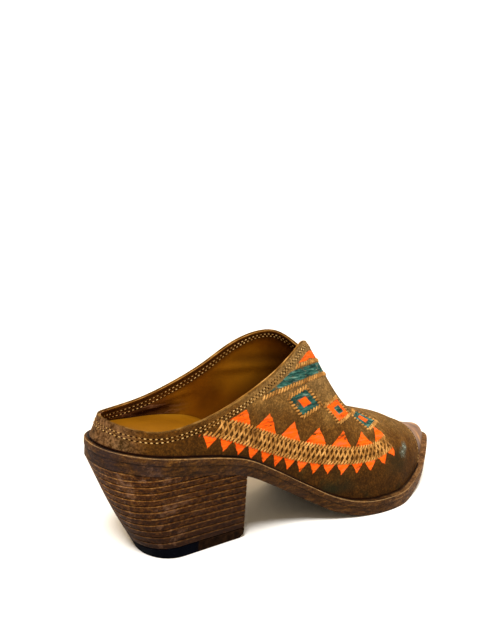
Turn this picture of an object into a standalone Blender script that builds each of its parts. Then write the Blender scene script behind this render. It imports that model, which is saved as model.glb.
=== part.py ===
"""A western clog for the right foot: an open-backed leather mule on a stacked leather heel.

Frame: +X points to the toe, +Y to the inner (medial) side of the foot and +Z up.  The
ground is z = 0 and the origin lies under the middle of the shoe.  Tables and sizes are in
millimetres, and MM turns them into Blender's metres where the vertices are made.
"""
import math

import bmesh
import bpy
import numpy as np

MM = 0.001
TINY = 1e-6


def table(columns, *rows):
    """Read a short table as {column: values down the rows}."""
    return dict(zip(columns.split(), np.array(rows, float).T))


# Driving sizes -------------------------------------------------------------------------

LENGTH = 284.0            # outsole, heel to toe
GAP = 0.3                 # air between pieces that lie on each other
WELT_THICK = 4.0
OUTSOLE_THICK = 4.9
OUTSOLE_INSET = 0.4
WELT_TUCK = 0.6           # the welt reaches this far in past the foot of the wall
TOP_LIFT_THICK = 6.2      # rubber
LIFT_PITCH = 4.0          # one leather lift and its glue line
SEAM_SHARE = 0.872        # where the vamp's front edge crosses the toe

# The plan: half width and centre line (towards medial), the height of the welt's top face
# and how far the welt stands out beyond the upper, at shares of the length.
SOLE = table(
    "share half_width centre level reach",
    (0.00, 30.5, 0.0, 64.4, 2.4),
    (0.12, 30.8, 0.0, 60.0, 2.4),
    (0.22, 31.4, -0.4, 55.7, 2.4),
    (0.27, 30.6, -0.5, 51.9, 2.4),
    (0.34, 28.8, -0.6, 42.4, 2.6),
    (0.45, 29.4, -0.6, 25.8, 3.0),
    (0.53, 34.4, -0.4, 14.8, 3.4),
    (0.60, 39.3, -0.1, 9.9, 3.8),
    (0.65, 41.8, 0.0, 9.2, 4.0),
    (0.73, 41.2, 0.0, 9.2, 4.0),
    (0.79, 36.8, 0.8, 10.7, 4.0),
    (0.86, 30.0, 1.7, 14.7, 3.8),
    (0.93, 20.8, 3.2, 20.6, 3.4),
    (1.00, 9.0, 4.4, 26.6, 3.0),
)

# The insole's face above the welt's top: the heel's seat is padded level, and the padding
# ends behind the toes.
INSOLE = table(
    "share top",
    (0.00, 5.0),
    (0.10, 5.0),
    (0.16, 6.6),
    (0.22, 8.0),
    (0.28, 9.6),
    (0.33, 9.4),
    (0.40, 7.2),
    (0.50, 5.0),
    (0.55, 5.0),
    (0.75, 3.0),
    (1.00, 3.0),
)

# The upper's sections: the height of the crest over the foot and of the collar's edge that
# cuts them off, on the outer (lateral) and the inner (medial) side; the sideways place of
# the crest; how far the wall swings out on its way up, how far the section's corner is
# filled upwards and sideways, and how thick the wall is.  Behind the throat the crest is
# only the top of the last, above the open collar.
UPPER = table(
    "share crest lateral medial centre swing rise spread wall",
    (0.00, 122.0, 76.0, 76.0, 0.0, -14.0, 0.50, 0.60, 2.0),
    (0.08, 124.0, 73.0, 73.0, 0.0, -6.0, 0.50, 0.60, 2.0),
    (0.16, 126.0, 76.2, 76.2, 0.0, -2.0, 0.50, 0.60, 2.0),
    (0.22, 128.0, 81.1, 82.0, 0.3, 0.0, 0.50, 0.60, 2.0),
    (0.29, 130.0, 88.1, 92.0, 0.8, 1.4, 0.52, 0.64, 2.0),
    (0.35, 131.0, 95.4, 104.1, 1.4, 2.8, 0.54, 0.66, 2.0),
    (0.41, 128.5, 104.4, 111.2, 2.0, 3.1, 0.55, 0.67, 2.0),
    (0.46, 119.4, 110.0, 112.2, 2.4, 3.3, 0.54, 0.65, 2.1),
    (0.515, 101.6, 101.6, 101.6, 2.8, 3.6, 0.54, 0.62, 2.2),
    (0.56, 84.6, 84.6, 84.6, 2.8, 3.8, 0.56, 0.58, 2.2),
    (0.61, 68.6, 68.6, 68.6, 2.4, 3.6, 0.60, 0.60, 2.2),
    (0.66, 60.0, 60.0, 60.0, 2.0, 3.2, 0.64, 0.64, 2.2),
    (0.72, 55.3, 55.3, 55.3, 1.8, 2.6, 0.66, 0.66, 2.2),
    (0.79, 50.2, 50.2, 50.2, 2.0, 2.0, 0.66, 0.66, 2.3),
    (0.86, 42.4, 42.4, 42.4, 2.4, 1.4, 0.64, 0.64, 3.0),
    (0.93, 36.6, 36.6, 36.6, 3.6, 0.8, 0.60, 0.60, 3.2),
    (1.00, 33.0, 33.0, 33.0, 5.4, 0.4, 0.56, 0.56, 3.2),
)
SIDE_NAMES = {-1: "lateral", 1: "medial"}
THROAT = (0.425, 0.515)   # the stretch over which the collar closes over the foot

HEEL_ROUND = 35.0         # depth of the round at the back of the plan
HEEL_SQUARENESS = 2.15
TOE_START = 0.962         # where the sides turn into the blunt front of the toe
TOE_SQUARENESS = (2.2, 0.24)   # of the front: at no depth, and more for each mm of depth
TIP_LEAN = 0.7            # the crest stops short of the front by this share of its round
CREST_START = 24.0        # and begins this far from the heel's back

# Stations along the plan on each stretch, and rows of points up each rib.
HEEL_STEPS = 7
SIDE_STEPS = 12
THROAT_STEPS = 6
VAMP_STEPS = 16
FRONT_STEPS = 4
TOE_STEPS = 5
RIB_ROWS = 10
# Where the collar cuts a section off, its upper rows close up: the share of the section that
# is missing, and the power that crowds the rows.
ROW_CROWDING = ((0.0, 0.7), (3.0, 1.0))
SECTION_STEPS = 200       # for finding where a section reaches the collar's height

# The toe cap lies in a step of the upper's wall, a little below the vamp's face.
CAP_DEPTH = 0.9
CAP_THICK = 1.0
STEP_DEPTH = CAP_DEPTH + CAP_THICK + GAP
SEAM_GAP = 0.4

# The heel block, at the ground and at the seat.
HEEL = table(
    "height back front half_width front_half_width",
    (0.0, 31.0, 88.6, 18.4, 18.4),
    (26.0, 15.4, 84.0, 20.8, 23.2),
    (56.0, 0.6, 78.4, 29.9, 29.4),
)
HEEL_BLOCK_ROUND = 0.92   # depth of its round back, as a share of its half width
HEEL_BLOCK_STEPS = 9
LIFT_COUNT = 10
LIFT_CHAMFER = 0.35
CHAMFER_ANGLE = 60.0      # degrees: gentler edges stay as they are
CUT_LIFTS = 4             # the sloping seat cuts the topmost ones
CUTTER_MARGIN = 4.0
CUTTER_HEIGHT = 30.0

# Welding, and the shortest side that a face may have.
WELD = 0.01
SHORTEST_SIDE = 0.001

# Colours (linear) and roughness of the materials.
SUEDE = (0.16, 0.085, 0.035), 0.8
CAP_LEATHER = (0.20, 0.10, 0.06), 0.4
INSOLE_LEATHER = (0.42, 0.22, 0.06), 0.5
WELT_LEATHER = (0.13, 0.06, 0.03), 0.6
SOLE_LEATHER = (0.10, 0.05, 0.03), 0.7
HEEL_LEATHER = (0.17, 0.085, 0.04), 0.75
RUBBER = (0.012, 0.014, 0.02), 0.55


# Reading the tables --------------------------------------------------------------------

def read(rows, column, position, key="share"):
    """A column at a position, by a smooth curve that stays level between equal rows."""
    x, y = rows[key], rows[column]
    widths = np.diff(x)
    slopes = np.diff(y) / widths
    tangents = np.concatenate([slopes[:1], (slopes[1:] * widths[:-1] + slopes[:-1] * widths[1:])
                               / (widths[1:] + widths[:-1]), slopes[-1:]])
    for i in range(1, len(x) - 1):
        if slopes[i - 1] * slopes[i] == 0:
            tangents[i] = 0
    i = int(np.clip(np.searchsorted(x, position) - 1, 0, len(widths) - 1))
    t = float(np.clip((position - x[i]) / widths[i], 0, 1))
    return ((1 + 2 * t) * (1 - t) ** 2 * y[i] + t * (1 - t) ** 2 * widths[i] * tangents[i]
            + t * t * (3 - 2 * t) * y[i + 1] - t * t * (1 - t) * widths[i] * tangents[i + 1])


def level(x):
    """The height of the welt's top face."""
    return read(SOLE, "level", x / LENGTH)


def insole_top(x):
    """How far the insole's face stands above the welt's top."""
    return read(INSOLE, "top", x / LENGTH)


def slant(share):
    """How much longer an inset is when measured across the shoe and not square to its side."""
    step = 0.01
    ends = [read(SOLE, "half_width", share + change) for change in (-step, step)]
    return math.hypot(1.0, (ends[1] - ends[0]) / (2 * step * LENGTH))


def superellipse(angle, squareness):
    """The two legs of a point on a quarter of a superellipse."""
    return abs(math.cos(angle)) ** (2 / squareness), abs(math.sin(angle)) ** (2 / squareness)


# Stations run from the heel's back over the round heel, along the side, past the throat
# and round the toe's blunt front.  Each is (kind, value): an angle on the round stretches
# "heel", "throat" and "toe", and a share of the length on the "side".

def stations(first_share=None):
    """All stations, or those from a share of the length on."""
    def quarter(kind, steps):
        return [(kind, math.pi / 2 * step / steps) for step in range(steps)]

    def stretch(start, end, steps):
        return [("side", start + (end - start) * step / steps) for step in range(steps)]

    tail = (stretch(SEAM_SHARE, TOE_START, FRONT_STEPS) + quarter("toe", TOE_STEPS)
            + [("toe", math.pi / 2)])
    if first_share is not None:
        return [("side", first_share)] + tail[1:]
    return (quarter("heel", HEEL_STEPS) + stretch(HEEL_ROUND / LENGTH, THROAT[0], SIDE_STEPS)
            + quarter("throat", THROAT_STEPS) + stretch(THROAT[1], SEAM_SHARE, VAMP_STEPS) + tail)


def plan(station, inset):
    """The plan at a station: x, centre line, half width and how full the end rounds are."""
    kind, value = station
    full = 1.0
    if kind == "heel":
        along, full = superellipse(value, HEEL_SQUARENESS)
        x = HEEL_ROUND - (HEEL_ROUND - inset) * along
    elif kind == "side":
        x = value * LENGTH
    elif kind == "throat":
        x = (THROAT[0] + (THROAT[1] - THROAT[0]) * math.sin(value)) * LENGTH
    else:
        depth = LENGTH - inset - TOE_START * LENGTH
        full, along = superellipse(value, TOE_SQUARENESS[0] + TOE_SQUARENESS[1] * depth)
        if value == math.pi / 2:
            full = 0.0
        x = TOE_START * LENGTH + depth * along
    share = x / LENGTH
    half_width = read(SOLE, "half_width", share) - inset * slant(share)
    return x, read(SOLE, "centre", share), half_width * full, full


def reach(station):
    """How far the welt stands out beyond the upper."""
    return read(SOLE, "reach", plan(station, 0.0)[0] / LENGTH)


def wall(station):
    """The thickness of the upper's wall."""
    return read(UPPER, "wall", plan(station, 0.0)[0] / LENGTH)


def outline(inset, side, offset):
    """The plan on one side (-1 lateral, 1 medial), at an offset from the welt's top face.

    The offset is a number, or a function of x.
    """
    points = []
    for station in stations():
        x, centre, half_width = plan(station, inset(station))[:3]
        rise = offset(x) if callable(offset) else offset
        points.append((x, centre + side * half_width, level(x) + rise))
    return np.array(points)


# Each edge of the sole is an inset from the welt's outer edge, given at a station.

def welt_edge(station):
    """The outermost edge, which the plan itself gives."""
    return 0.0


def outsole_edge(station):
    """A hair inside the welt's edge."""
    return OUTSOLE_INSET


def cutter_edge(station):
    """Outside everything, for the cutter that shapes the heel's seat."""
    return -CUTTER_MARGIN


def lasting_edge(station):
    """Just inside the foot of the upper's wall."""
    return reach(station) + wall(station) + WELT_TUCK


def insole_edge(station):
    """Clear of the welt, and of the wall where that leans in over the insole."""
    x = plan(station, 0.0)[0]
    share = x / LENGTH
    height = read(UPPER, "rise", share) * (read(UPPER, "crest", share) - level(x))
    lean = max(0.0, -read(UPPER, "swing", share)) / height
    return lasting_edge(station) + GAP + lean * insole_top(x)


PLAN_MIDDLE = (outline(welt_edge, -1, 0)[:, 1].min() + outline(welt_edge, 1, 0)[:, 1].max()) / 2


# Building meshes -----------------------------------------------------------------------

def new_object(name, bm, finish, collection):
    """Weld a mesh (in mm), turn its faces out and link it as an object with a finish."""
    bmesh.ops.remove_doubles(bm, verts=bm.verts, dist=WELD)
    bmesh.ops.dissolve_degenerate(bm, edges=bm.edges, dist=WELD)
    bmesh.ops.recalc_face_normals(bm, faces=bm.faces)
    bmesh.ops.scale(bm, vec=(MM, MM, MM), verts=bm.verts)
    bmesh.ops.translate(bm, vec=(-LENGTH / 2 * MM, -PLAN_MIDDLE * MM, 0), verts=bm.verts)
    mesh = bpy.data.meshes.new(name)
    bm.to_mesh(mesh)
    bm.free()
    thing = bpy.data.objects.new(name, mesh)
    collection.objects.link(thing)
    if finish is not None:
        color, roughness = finish
        material = bpy.data.materials.new(name)
        material.use_nodes = True
        shader = material.node_tree.nodes["Principled BSDF"]
        shader.inputs["Base Color"].default_value = (*color, 1)
        shader.inputs["Roughness"].default_value = roughness
        shader.inputs["Metallic"].default_value = 0
        mesh.materials.append(material)
    return thing


def strip(bm, first, second):
    """Quads between two rows of vertices, leaving out sides with no length."""
    for a, b, c, d in zip(first[:-1], first[1:], second[1:], second[:-1]):
        corners = [a]
        for corner in (b, c, d):
            if all((corner.co - other.co).length > SHORTEST_SIDE for other in corners):
                corners.append(corner)
        if len(corners) > 2:
            bm.faces.new(corners)


def add_row(bm, points):
    """A row of new vertices."""
    return [bm.verts.new(point) for point in points]


def slab(inset, top, bottom):
    """A plate of the plan's shape between two offsets from the welt's top face."""
    bm = bmesh.new()
    rows = {(side, offset): add_row(bm, outline(inset, side, offset))
            for side in (-1, 1) for offset in (top, bottom)}
    strip(bm, rows[-1, top], rows[1, top])
    strip(bm, rows[-1, bottom], rows[1, bottom])
    for side in (-1, 1):
        strip(bm, rows[side, top], rows[side, bottom])
    return bm


# The upper -----------------------------------------------------------------------------

def rib(station, side):
    """Points up the upper's face, from the welt to the collar's edge or the crest."""
    kind, value = station
    x, centre, half_width, full = plan(station, reach(station))
    share = x / LENGTH
    outward = np.array((0.0, side, 0.0))
    lean = 0.0
    if kind == "heel":
        outward = np.array((-math.cos(value), side * math.sin(value), 0.0))
        lean = CREST_START * (1 - full ** 2)
    if kind == "toe":
        outward = np.array((math.sin(value), side * math.cos(value), 0.0))
        lean = -TIP_LEAN * (x - TOE_START * LENGTH)
    crest_share = (x + lean) / LENGTH
    foot = np.array((x, centre + side * half_width, level(x) + GAP))
    crest = np.array((x + lean, read(UPPER, "centre", crest_share),
                      read(UPPER, "crest", crest_share)))
    upward = np.array((0.0, 0.0, crest[2] - foot[2]))
    width = np.linalg.norm((foot - crest)[:2])
    low = foot + outward * read(UPPER, "swing", share) + upward * read(UPPER, "rise", share)
    high = crest + outward * width * read(UPPER, "spread", share)

    def section(steps):
        steps = steps[:, None]
        rest = 1 - steps
        return (rest ** 3 * foot + 3 * steps * rest ** 2 * low
                + 3 * steps ** 2 * rest * high + steps ** 3 * crest)

    end = 1.0
    if share < THROAT[1]:
        fine = np.linspace(0, 1, SECTION_STEPS)
        end = np.interp(read(UPPER, SIDE_NAMES[side], share), section(fine)[:, 2], fine)
    missing = 1 - end
    rows = np.linspace(0, 1, RIB_ROWS + 1)
    return section(rows - missing * rows ** np.interp(missing, *ROW_CROWDING))


def unit(vectors):
    """Vectors made one long, and those with no length left alone."""
    return vectors / np.maximum(np.linalg.norm(vectors, axis=-1, keepdims=True), TINY)


def face_sheets(places):
    """The upper's face on both sides, and its outward normals: [side][station][row]."""
    faces = np.array([[rib(place, side) for place in places] for side in (-1, 1)])
    along = np.gradient(faces, axis=1)
    upwards = np.gradient(faces, axis=2)
    normals = unit(np.cross(along, upwards))
    normals[1] *= -1
    normals *= -1 if normals[0, len(places) // 2, 0, 1] > 0 else 1
    shared = np.linalg.norm(faces[0] - faces[1], axis=2) < TINY
    middle = unit(normals[0] + normals[1])
    for side in (0, 1):
        normals[side][shared] = middle[shared]
    return faces, normals


def shell(outer, inner, open_ribs):
    """Close the space between two pairs of sheets at the foot and at the open edge.

    The open edge runs over the heads of the first ribs, or, with no open ribs, up the
    first rib of each side.
    """
    bm = bmesh.new()
    skins = [[[add_row(bm, points) for points in sheet] for sheet in sheets]
             for sheets in (outer, inner)]
    for skin in skins:
        for sheet in skin:
            for first, second in zip(sheet[:-1], sheet[1:]):
                strip(bm, first, second)
    for outer_sheet, inner_sheet in zip(*skins):
        strip(bm, [ribs[0] for ribs in outer_sheet], [ribs[0] for ribs in inner_sheet])
        if open_ribs:
            strip(bm, [ribs[-1] for ribs in outer_sheet[:open_ribs]],
                  [ribs[-1] for ribs in inner_sheet[:open_ribs]])
        else:
            strip(bm, outer_sheet[0], inner_sheet[0])
    return bm


def make_upper(collection):
    """One hollow wall from the collar to the toe's tip, stepped down under the toe cap."""
    places = stations()
    seam = places.index(("side", SEAM_SHARE))
    throat = places.index(("side", THROAT[1]))
    faces, normals = face_sheets(places)
    walls = np.array([wall(place) for place in places])
    inner = faces - normals * walls[None, :, None, None]
    inner[:, :, 0, 2] = faces[:, :, 0, 2]     # the wall's foot is flat on the welt
    depth = np.where(np.arange(len(places)) < seam, 0.0, STEP_DEPTH)
    outer = faces - normals * depth[None, :, None, None]
    # The seam's rib comes twice: on the vamp's face and at the foot of the step.
    outer = np.concatenate([outer[:, :seam], faces[:, seam:seam + 1], outer[:, seam:]], axis=1)
    inner = np.concatenate([inner[:, :seam + 1], inner[:, seam:]], axis=1)
    bm = shell(outer, inner, throat + 1)
    return new_object("upper", bm, SUEDE, collection)


def make_toe_cap(collection):
    """The snip toe's cap, from the vamp's seam to the tip, in the step of the wall."""
    faces, normals = face_sheets(stations(SEAM_SHARE + SEAM_GAP / LENGTH))
    bm = shell(faces - normals * CAP_DEPTH, faces - normals * (CAP_DEPTH + CAP_THICK), 0)
    return new_object("toe_cap", bm, CAP_LEATHER, collection)


# The sole ------------------------------------------------------------------------------

def make_welt(collection):
    """The strip that stands out past the upper and reaches in under its wall."""
    bm = bmesh.new()
    for side in (-1, 1):
        outer_top, outer_bottom, inner_top, inner_bottom = (
            add_row(bm, outline(edge, side, offset))
            for edge in (welt_edge, lasting_edge) for offset in (0.0, -WELT_THICK))
        strip(bm, outer_top, inner_top)
        strip(bm, outer_bottom, inner_bottom)
        strip(bm, outer_top, outer_bottom)
        strip(bm, inner_top, inner_bottom)
    return new_object("welt", bm, WELT_LEATHER, collection)


def make_insole(collection):
    """It lies inside the welt, on the outsole, and stands a little above the welt."""
    bm = slab(insole_edge, insole_top, -WELT_THICK)
    return new_object("insole", bm, INSOLE_LEATHER, collection)


def make_outsole(collection):
    """The walking layer, under the welt and the insole."""
    top = -WELT_THICK - GAP
    bm = slab(outsole_edge, top, top - OUTSOLE_THICK)
    return new_object("outsole", bm, SOLE_LEATHER, collection)


# The heel ------------------------------------------------------------------------------

def heel_outline(height):
    """The heel block's plan at a height: a round back, straight sides and a flat breast."""
    back, front, half_width, front_half_width = (
        read(HEEL, column, height, key="height")
        for column in ("back", "front", "half_width", "front_half_width"))
    depth = half_width * HEEL_BLOCK_ROUND
    lateral = []
    for step in range(HEEL_BLOCK_STEPS + 1):
        along, across = superellipse(math.pi / 2 * step / HEEL_BLOCK_STEPS, HEEL_SQUARENESS)
        lateral.append((back + depth * (1 - along), -half_width * across))
    lateral.append((front, -front_half_width))
    medial = [(x, -y) for x, y in lateral[:0:-1]]
    return [(x, y, height) for x, y in lateral + medial]


def heel_piece(name, bottom, top, finish, collection):
    """One layer of the heel, its edges slightly chamfered."""
    bm = bmesh.new()
    low = add_row(bm, heel_outline(bottom))
    high = add_row(bm, heel_outline(top))
    strip(bm, low + low[:1], high + high[:1])
    bm.faces.new(low)
    bm.faces.new(high)
    piece = new_object(name, bm, finish, collection)
    chamfer = piece.modifiers.new("chamfer", "BEVEL")
    chamfer.width = LIFT_CHAMFER * MM
    chamfer.segments = 1
    chamfer.limit_method = "ANGLE"
    chamfer.angle_limit = math.radians(CHAMFER_ANGLE)
    return piece


def make_heel(collection, cutters):
    """A rubber top lift, leather lifts of even thickness and a wedge under the seat."""
    above = slab(cutter_edge, CUTTER_HEIGHT, -WELT_THICK - OUTSOLE_THICK - 2 * GAP)
    cutter = new_object("above_the_seat", above, None, cutters)
    cutter.hide_render = True
    cutter.display_type = "WIRE"
    heel_piece("top_lift", 0.0, TOP_LIFT_THICK, RUBBER, collection)
    bottom = TOP_LIFT_THICK + GAP
    pieces = []
    for number in range(1, LIFT_COUNT + 1):
        pieces.append(heel_piece(f"heel_lift_{number:02d}", bottom, bottom + LIFT_PITCH - GAP,
                                 HEEL_LEATHER, collection))
        bottom += LIFT_PITCH
    pieces.append(heel_piece("heel_wedge", bottom, HEEL["height"][-1], HEEL_LEATHER, collection))
    for piece in pieces[-CUT_LIFTS:]:
        cut = piece.modifiers.new("seat", "BOOLEAN")
        cut.operation = "DIFFERENCE"
        cut.object = cutter


def main():
    """Clear the scene and make the clog's pieces in a collection of their own."""
    for thing in list(bpy.data.objects):
        bpy.data.objects.remove(thing)
    clog = bpy.data.collections.new("western_clog")
    cutters = bpy.data.collections.new("cutters")
    for collection in (clog, cutters):
        bpy.context.scene.collection.children.link(collection)
    make_upper(clog)
    make_toe_cap(clog)
    make_insole(clog)
    make_welt(clog)
    make_outsole(clog)
    make_heel(clog, cutters)


main()
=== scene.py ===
# %% [markdown]
# # A western clog
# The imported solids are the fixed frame: they say where each piece lies and how large it is.
# The frame is loaded first and never moved.  Each piece that is softer or finer than its
# solid is then made around it, and stands for it.

# %% Load the frame
import math

import bmesh
import bpy
import numpy as np
from mathutils import Matrix, Vector
from mathutils.bvhtree import BVHTree
from mathutils.geometry import barycentric_transform
from mathutils.kdtree import KDTree


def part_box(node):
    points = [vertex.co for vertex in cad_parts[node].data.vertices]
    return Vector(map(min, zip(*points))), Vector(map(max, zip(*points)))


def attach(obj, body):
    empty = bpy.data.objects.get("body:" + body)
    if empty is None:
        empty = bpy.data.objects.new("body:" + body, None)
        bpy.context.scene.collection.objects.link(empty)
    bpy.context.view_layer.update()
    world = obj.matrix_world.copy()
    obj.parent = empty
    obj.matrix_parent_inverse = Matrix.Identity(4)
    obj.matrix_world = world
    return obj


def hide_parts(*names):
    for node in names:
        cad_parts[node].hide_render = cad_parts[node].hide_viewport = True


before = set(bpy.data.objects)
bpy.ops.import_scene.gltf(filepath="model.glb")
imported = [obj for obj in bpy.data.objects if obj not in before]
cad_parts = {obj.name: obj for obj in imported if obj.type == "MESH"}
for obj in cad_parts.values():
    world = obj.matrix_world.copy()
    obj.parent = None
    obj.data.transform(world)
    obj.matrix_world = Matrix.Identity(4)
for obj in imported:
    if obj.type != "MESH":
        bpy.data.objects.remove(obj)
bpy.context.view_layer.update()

MM = 0.001

# %% [markdown]
# ## Camera
# The shoe is seen from behind its outer side and a little from above, and the camera is
# rolled by a few degrees.  The three directions of a camera can be worked out from the turn,
# the dip and the roll, which is easier to read than three mixed angles.

# %% Camera
CAMERA_PLACE = (-0.2833, -0.2736, 0.1723)
CAMERA_TURN = math.radians(-40.24)
CAMERA_DIP = math.radians(8.02)
CAMERA_ROLL = math.radians(3.88)
CAMERA_LENS = 36          # mm, on a sensor of the same size
NEAREST_SEEN = 0.01       # metres


def camera_matrix(place, turn, dip, roll):
    """The camera's axes as a matrix: it looks along its own -Z."""
    ahead = Vector((-math.sin(turn) * math.cos(dip), math.cos(turn) * math.cos(dip), -math.sin(dip)))
    level = Vector((math.cos(turn), math.sin(turn), 0))
    right = level * math.cos(roll) + level.cross(ahead) * math.sin(roll)
    axes = Matrix((right, right.cross(ahead), -ahead)).transposed()
    return Matrix.Translation(place) @ axes.to_4x4()


bpy.ops.object.camera_add()
camera = bpy.context.object
camera.matrix_world = camera_matrix(CAMERA_PLACE, CAMERA_TURN, CAMERA_DIP, CAMERA_ROLL)
camera.data.lens = CAMERA_LENS
camera.data.sensor_width = CAMERA_LENS
camera.data.clip_start = NEAREST_SEEN
bpy.context.scene.camera = camera
print("camera at", [round(value, 3) for value in camera.location])

# %% [markdown]
# ## Materials: the helpers
# Colours are written as sRGB hex, as a colour picker gives them, and one function turns them
# to the linear values that the shader works with.  Another function adds any node, with its
# settings and its links, so a finish reads as a list of Blender's own nodes.

# %% Colour and node helpers
def hex_colour(text):
    """sRGB hex to linear red, green, blue and alpha."""
    values = [int(text[i:i + 2], 16) / 255 for i in (1, 3, 5)]
    linear = [v / 12.92 if v <= 0.04045 else ((v + 0.055) / 1.055) ** 2.4 for v in values]
    return (*linear, 1)


def add(tree, kind, *values, out=None, stops=(), **settings):
    """Add a node and give its output.

    The values fill its inputs in their order: a number, a hex colour, or an output to link.
    The stops of a Color Ramp are pairs of a position and a hex colour.
    """
    node = tree.nodes.new("ShaderNode" + kind)
    for name, value in settings.items():
        setattr(node, name, value)
    while stops and len(node.color_ramp.elements) < len(stops):
        node.color_ramp.elements.new(0.5)
    for number, (position, colour) in enumerate(stops):
        node.color_ramp.elements[number].position = position
        node.color_ramp.elements[number].color = hex_colour(colour)
    for socket, value in zip([socket for socket in node.inputs if socket.enabled], values):
        if isinstance(value, bpy.types.NodeSocket):
            tree.links.new(value, socket)
        else:
            socket.default_value = hex_colour(value) if isinstance(value, str) else value
    return node.outputs[out] if out else next(socket for socket in node.outputs if socket.enabled)


print("a mid brown in linear values", [round(value, 3) for value in hex_colour("#7b5a35")[:3]])

# %% [markdown]
# A finish starts from a Principled material and from where a point lies on the shoe.  It ends
# with a colour, and with a height that raises the surface a little under the light.

# %% The start and the end of a finish
def new_material(name, **sockets):
    """A Principled material, the plain values of its shader set directly."""
    material = bpy.data.materials.new(name)
    material.use_nodes = True
    shader = material.node_tree.nodes["Principled BSDF"]
    for socket, value in sockets.items():
        shader.inputs[socket.replace("_", " ")].default_value = value
    return material, material.node_tree, shader


def on_shoe(tree):
    """Where a point is on the shoe, in metres: as one place, and as its X, Y and Z."""
    place = add(tree, "TexCoord", out="Object")
    return place, add(tree, "SeparateXYZ", place).node.outputs


def facing_up(tree):
    """1 where the surface faces up, 0 on an upright wall, -1 underneath."""
    return add(tree, "SeparateXYZ", add(tree, "NewGeometry", out="Normal"), out="Z")


def stored(tree, name):
    """The three numbers that are kept under this name on each point of a piece."""
    vector = add(tree, "Attribute", attribute_name=name, out="Vector")
    return add(tree, "SeparateXYZ", vector).node.outputs


def finish(tree, shader, tone, height, depth_mm, strength=0.8):
    """Give the shader its colour, and relief from a height of 0 to 1 over this many mm."""
    tree.links.new(tone, shader.inputs["Base Color"])
    relief = add(tree, "Bump", strength, depth_mm * MM)
    tree.links.new(height, relief.node.inputs["Height"])
    tree.links.new(relief, shader.inputs["Normal"])


# %% [markdown]
# Leather is never one flat colour.  Three patterns come back in all its finishes: clouds of
# noise with a real size, patches where such clouds are strong, and a tint over a ground.

# %% Patterns with a real size
def clouds(tree, place, size_mm, detail=3.0, roughness=0.6, stretch=(1, 1, 1)):
    """Cloudy noise whose patches are about size_mm across."""
    none = (0, 0, 0)
    scaled = add(tree, "Mapping", place, none, none, stretch)
    return add(tree, "TexNoise", scaled, 1 / (size_mm * MM), detail, roughness)


def patches(tree, place, low, high, size_mm, detail=3.0, roughness=0.6, stretch=(1, 1, 1)):
    """1 in the patches where the clouds are over high, 0 where they are under low."""
    return add(tree, "MapRange", clouds(tree, place, size_mm, detail, roughness, stretch), low, high)


def tint(tree, ground, colour, mask, share):
    """A colour laid over a ground where a mask is 1, as strongly as the share says."""
    strength = add(tree, "Math", mask, share, operation="MULTIPLY")
    return add(tree, "Mix", strength, ground, colour, data_type="RGBA")


# %% [markdown]
# ## A flat chart of the upper's sides
# Painted and stitched patterns have to follow the leather.  A chart lays each side of the
# upper out flat: the first number runs along the shoe, the second up its side, both in
# millimetres.  Both sides share one chart, mirrored at the crest, so every pattern is set
# out once.  The row of diamonds, the chevrons and the border then have coordinates of
# their own, measured along and across each of them.

# %% Chart
CREST_Y = 2.3             # the crest of the vamp, in mm
SIDE_UP = (0.85, 0.52)    # up and inwards, along a side


def chart(points):
    """Along the shoe and up its side, in mm, of an array of points in metres."""
    points = np.asarray(points) / MM
    inwards = -np.abs(points[:, 1] - CREST_Y)
    return np.stack([points[:, 0], SIDE_UP[0] * points[:, 2] + SIDE_UP[1] * inwards], axis=1)


def turned(flat, origin, direction):
    """Along and across a line through origin, the first of two axes on the chart."""
    way = np.array(direction) / np.hypot(*direction)
    offset = np.asarray(flat) - origin
    return np.stack([offset @ way, offset @ np.array((-way[1], way[0]))], axis=1)


def unturned(local, origin, direction):
    """Back from a line's own axes to the chart."""
    way = np.array(direction) / np.hypot(*direction)
    local = np.asarray(local, float)
    return np.array(origin) + local[:, :1] * way + local[:, 1:] * np.array((-way[1], way[0]))


ROW_START = (-44.0, 56.5)      # the row of diamonds: where it starts on the chart
ROW_WAY = (100, -23)           # and its direction
DIAMOND_PITCH = 32.0
DIAMOND_HALF = (13.6, 7.0)
DIAMOND_FIRST = 9.0
DIAMONDS = 3
TIP_START = (5.5, 84.5)        # the chevrons: the crest, just under the collar
TIP_WAY = (0.727, -0.687)
CHEVRON_SLANT = 0.74
RIM_CLEAR = 6.6                # how far the patterns stay from the rim
CHEVRONS = ((1.5, 9.0), (12.8, 20.4))
CHEVRON_CORDS = (10.9, 22.3)
CHEVRON_REACH = 62.0
BORDER_LINE = ((-104, 51), (-92, 47.5), (-76, 42.5), (-56, 36), (-32, 28.5), (-6, 21),
               (18, 15.5), (38, 14), (54, 17.5), (62, 22))
BORDER_STEPS = 400             # of its smoothed line
BORDER_SMOOTHING = 61          # steps that each point is averaged over
CHUNK = 4000                   # points worked on at once, to save memory


def border_path():
    """The border's middle line on the chart, in short equal steps."""
    coarse = np.array(BORDER_LINE, float)
    knots = np.arange(len(coarse))
    fine = np.linspace(0, knots[-1], BORDER_STEPS)
    line = np.stack([np.interp(fine, knots, coarse[:, axis]) for axis in (0, 1)], axis=1)
    kernel = np.hanning(BORDER_SMOOTHING)
    kernel /= kernel.sum()
    margin = BORDER_SMOOTHING // 2
    padded = np.pad(line, ((margin, margin), (0, 0)), mode="reflect", reflect_type="odd")
    return np.stack([np.convolve(padded[:, axis], kernel, "valid") for axis in (0, 1)], axis=1)


BORDER = border_path()
BORDER_LENGTHS = np.concatenate([[0], np.cumsum(np.hypot(*np.diff(BORDER, axis=0).T))])


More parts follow.
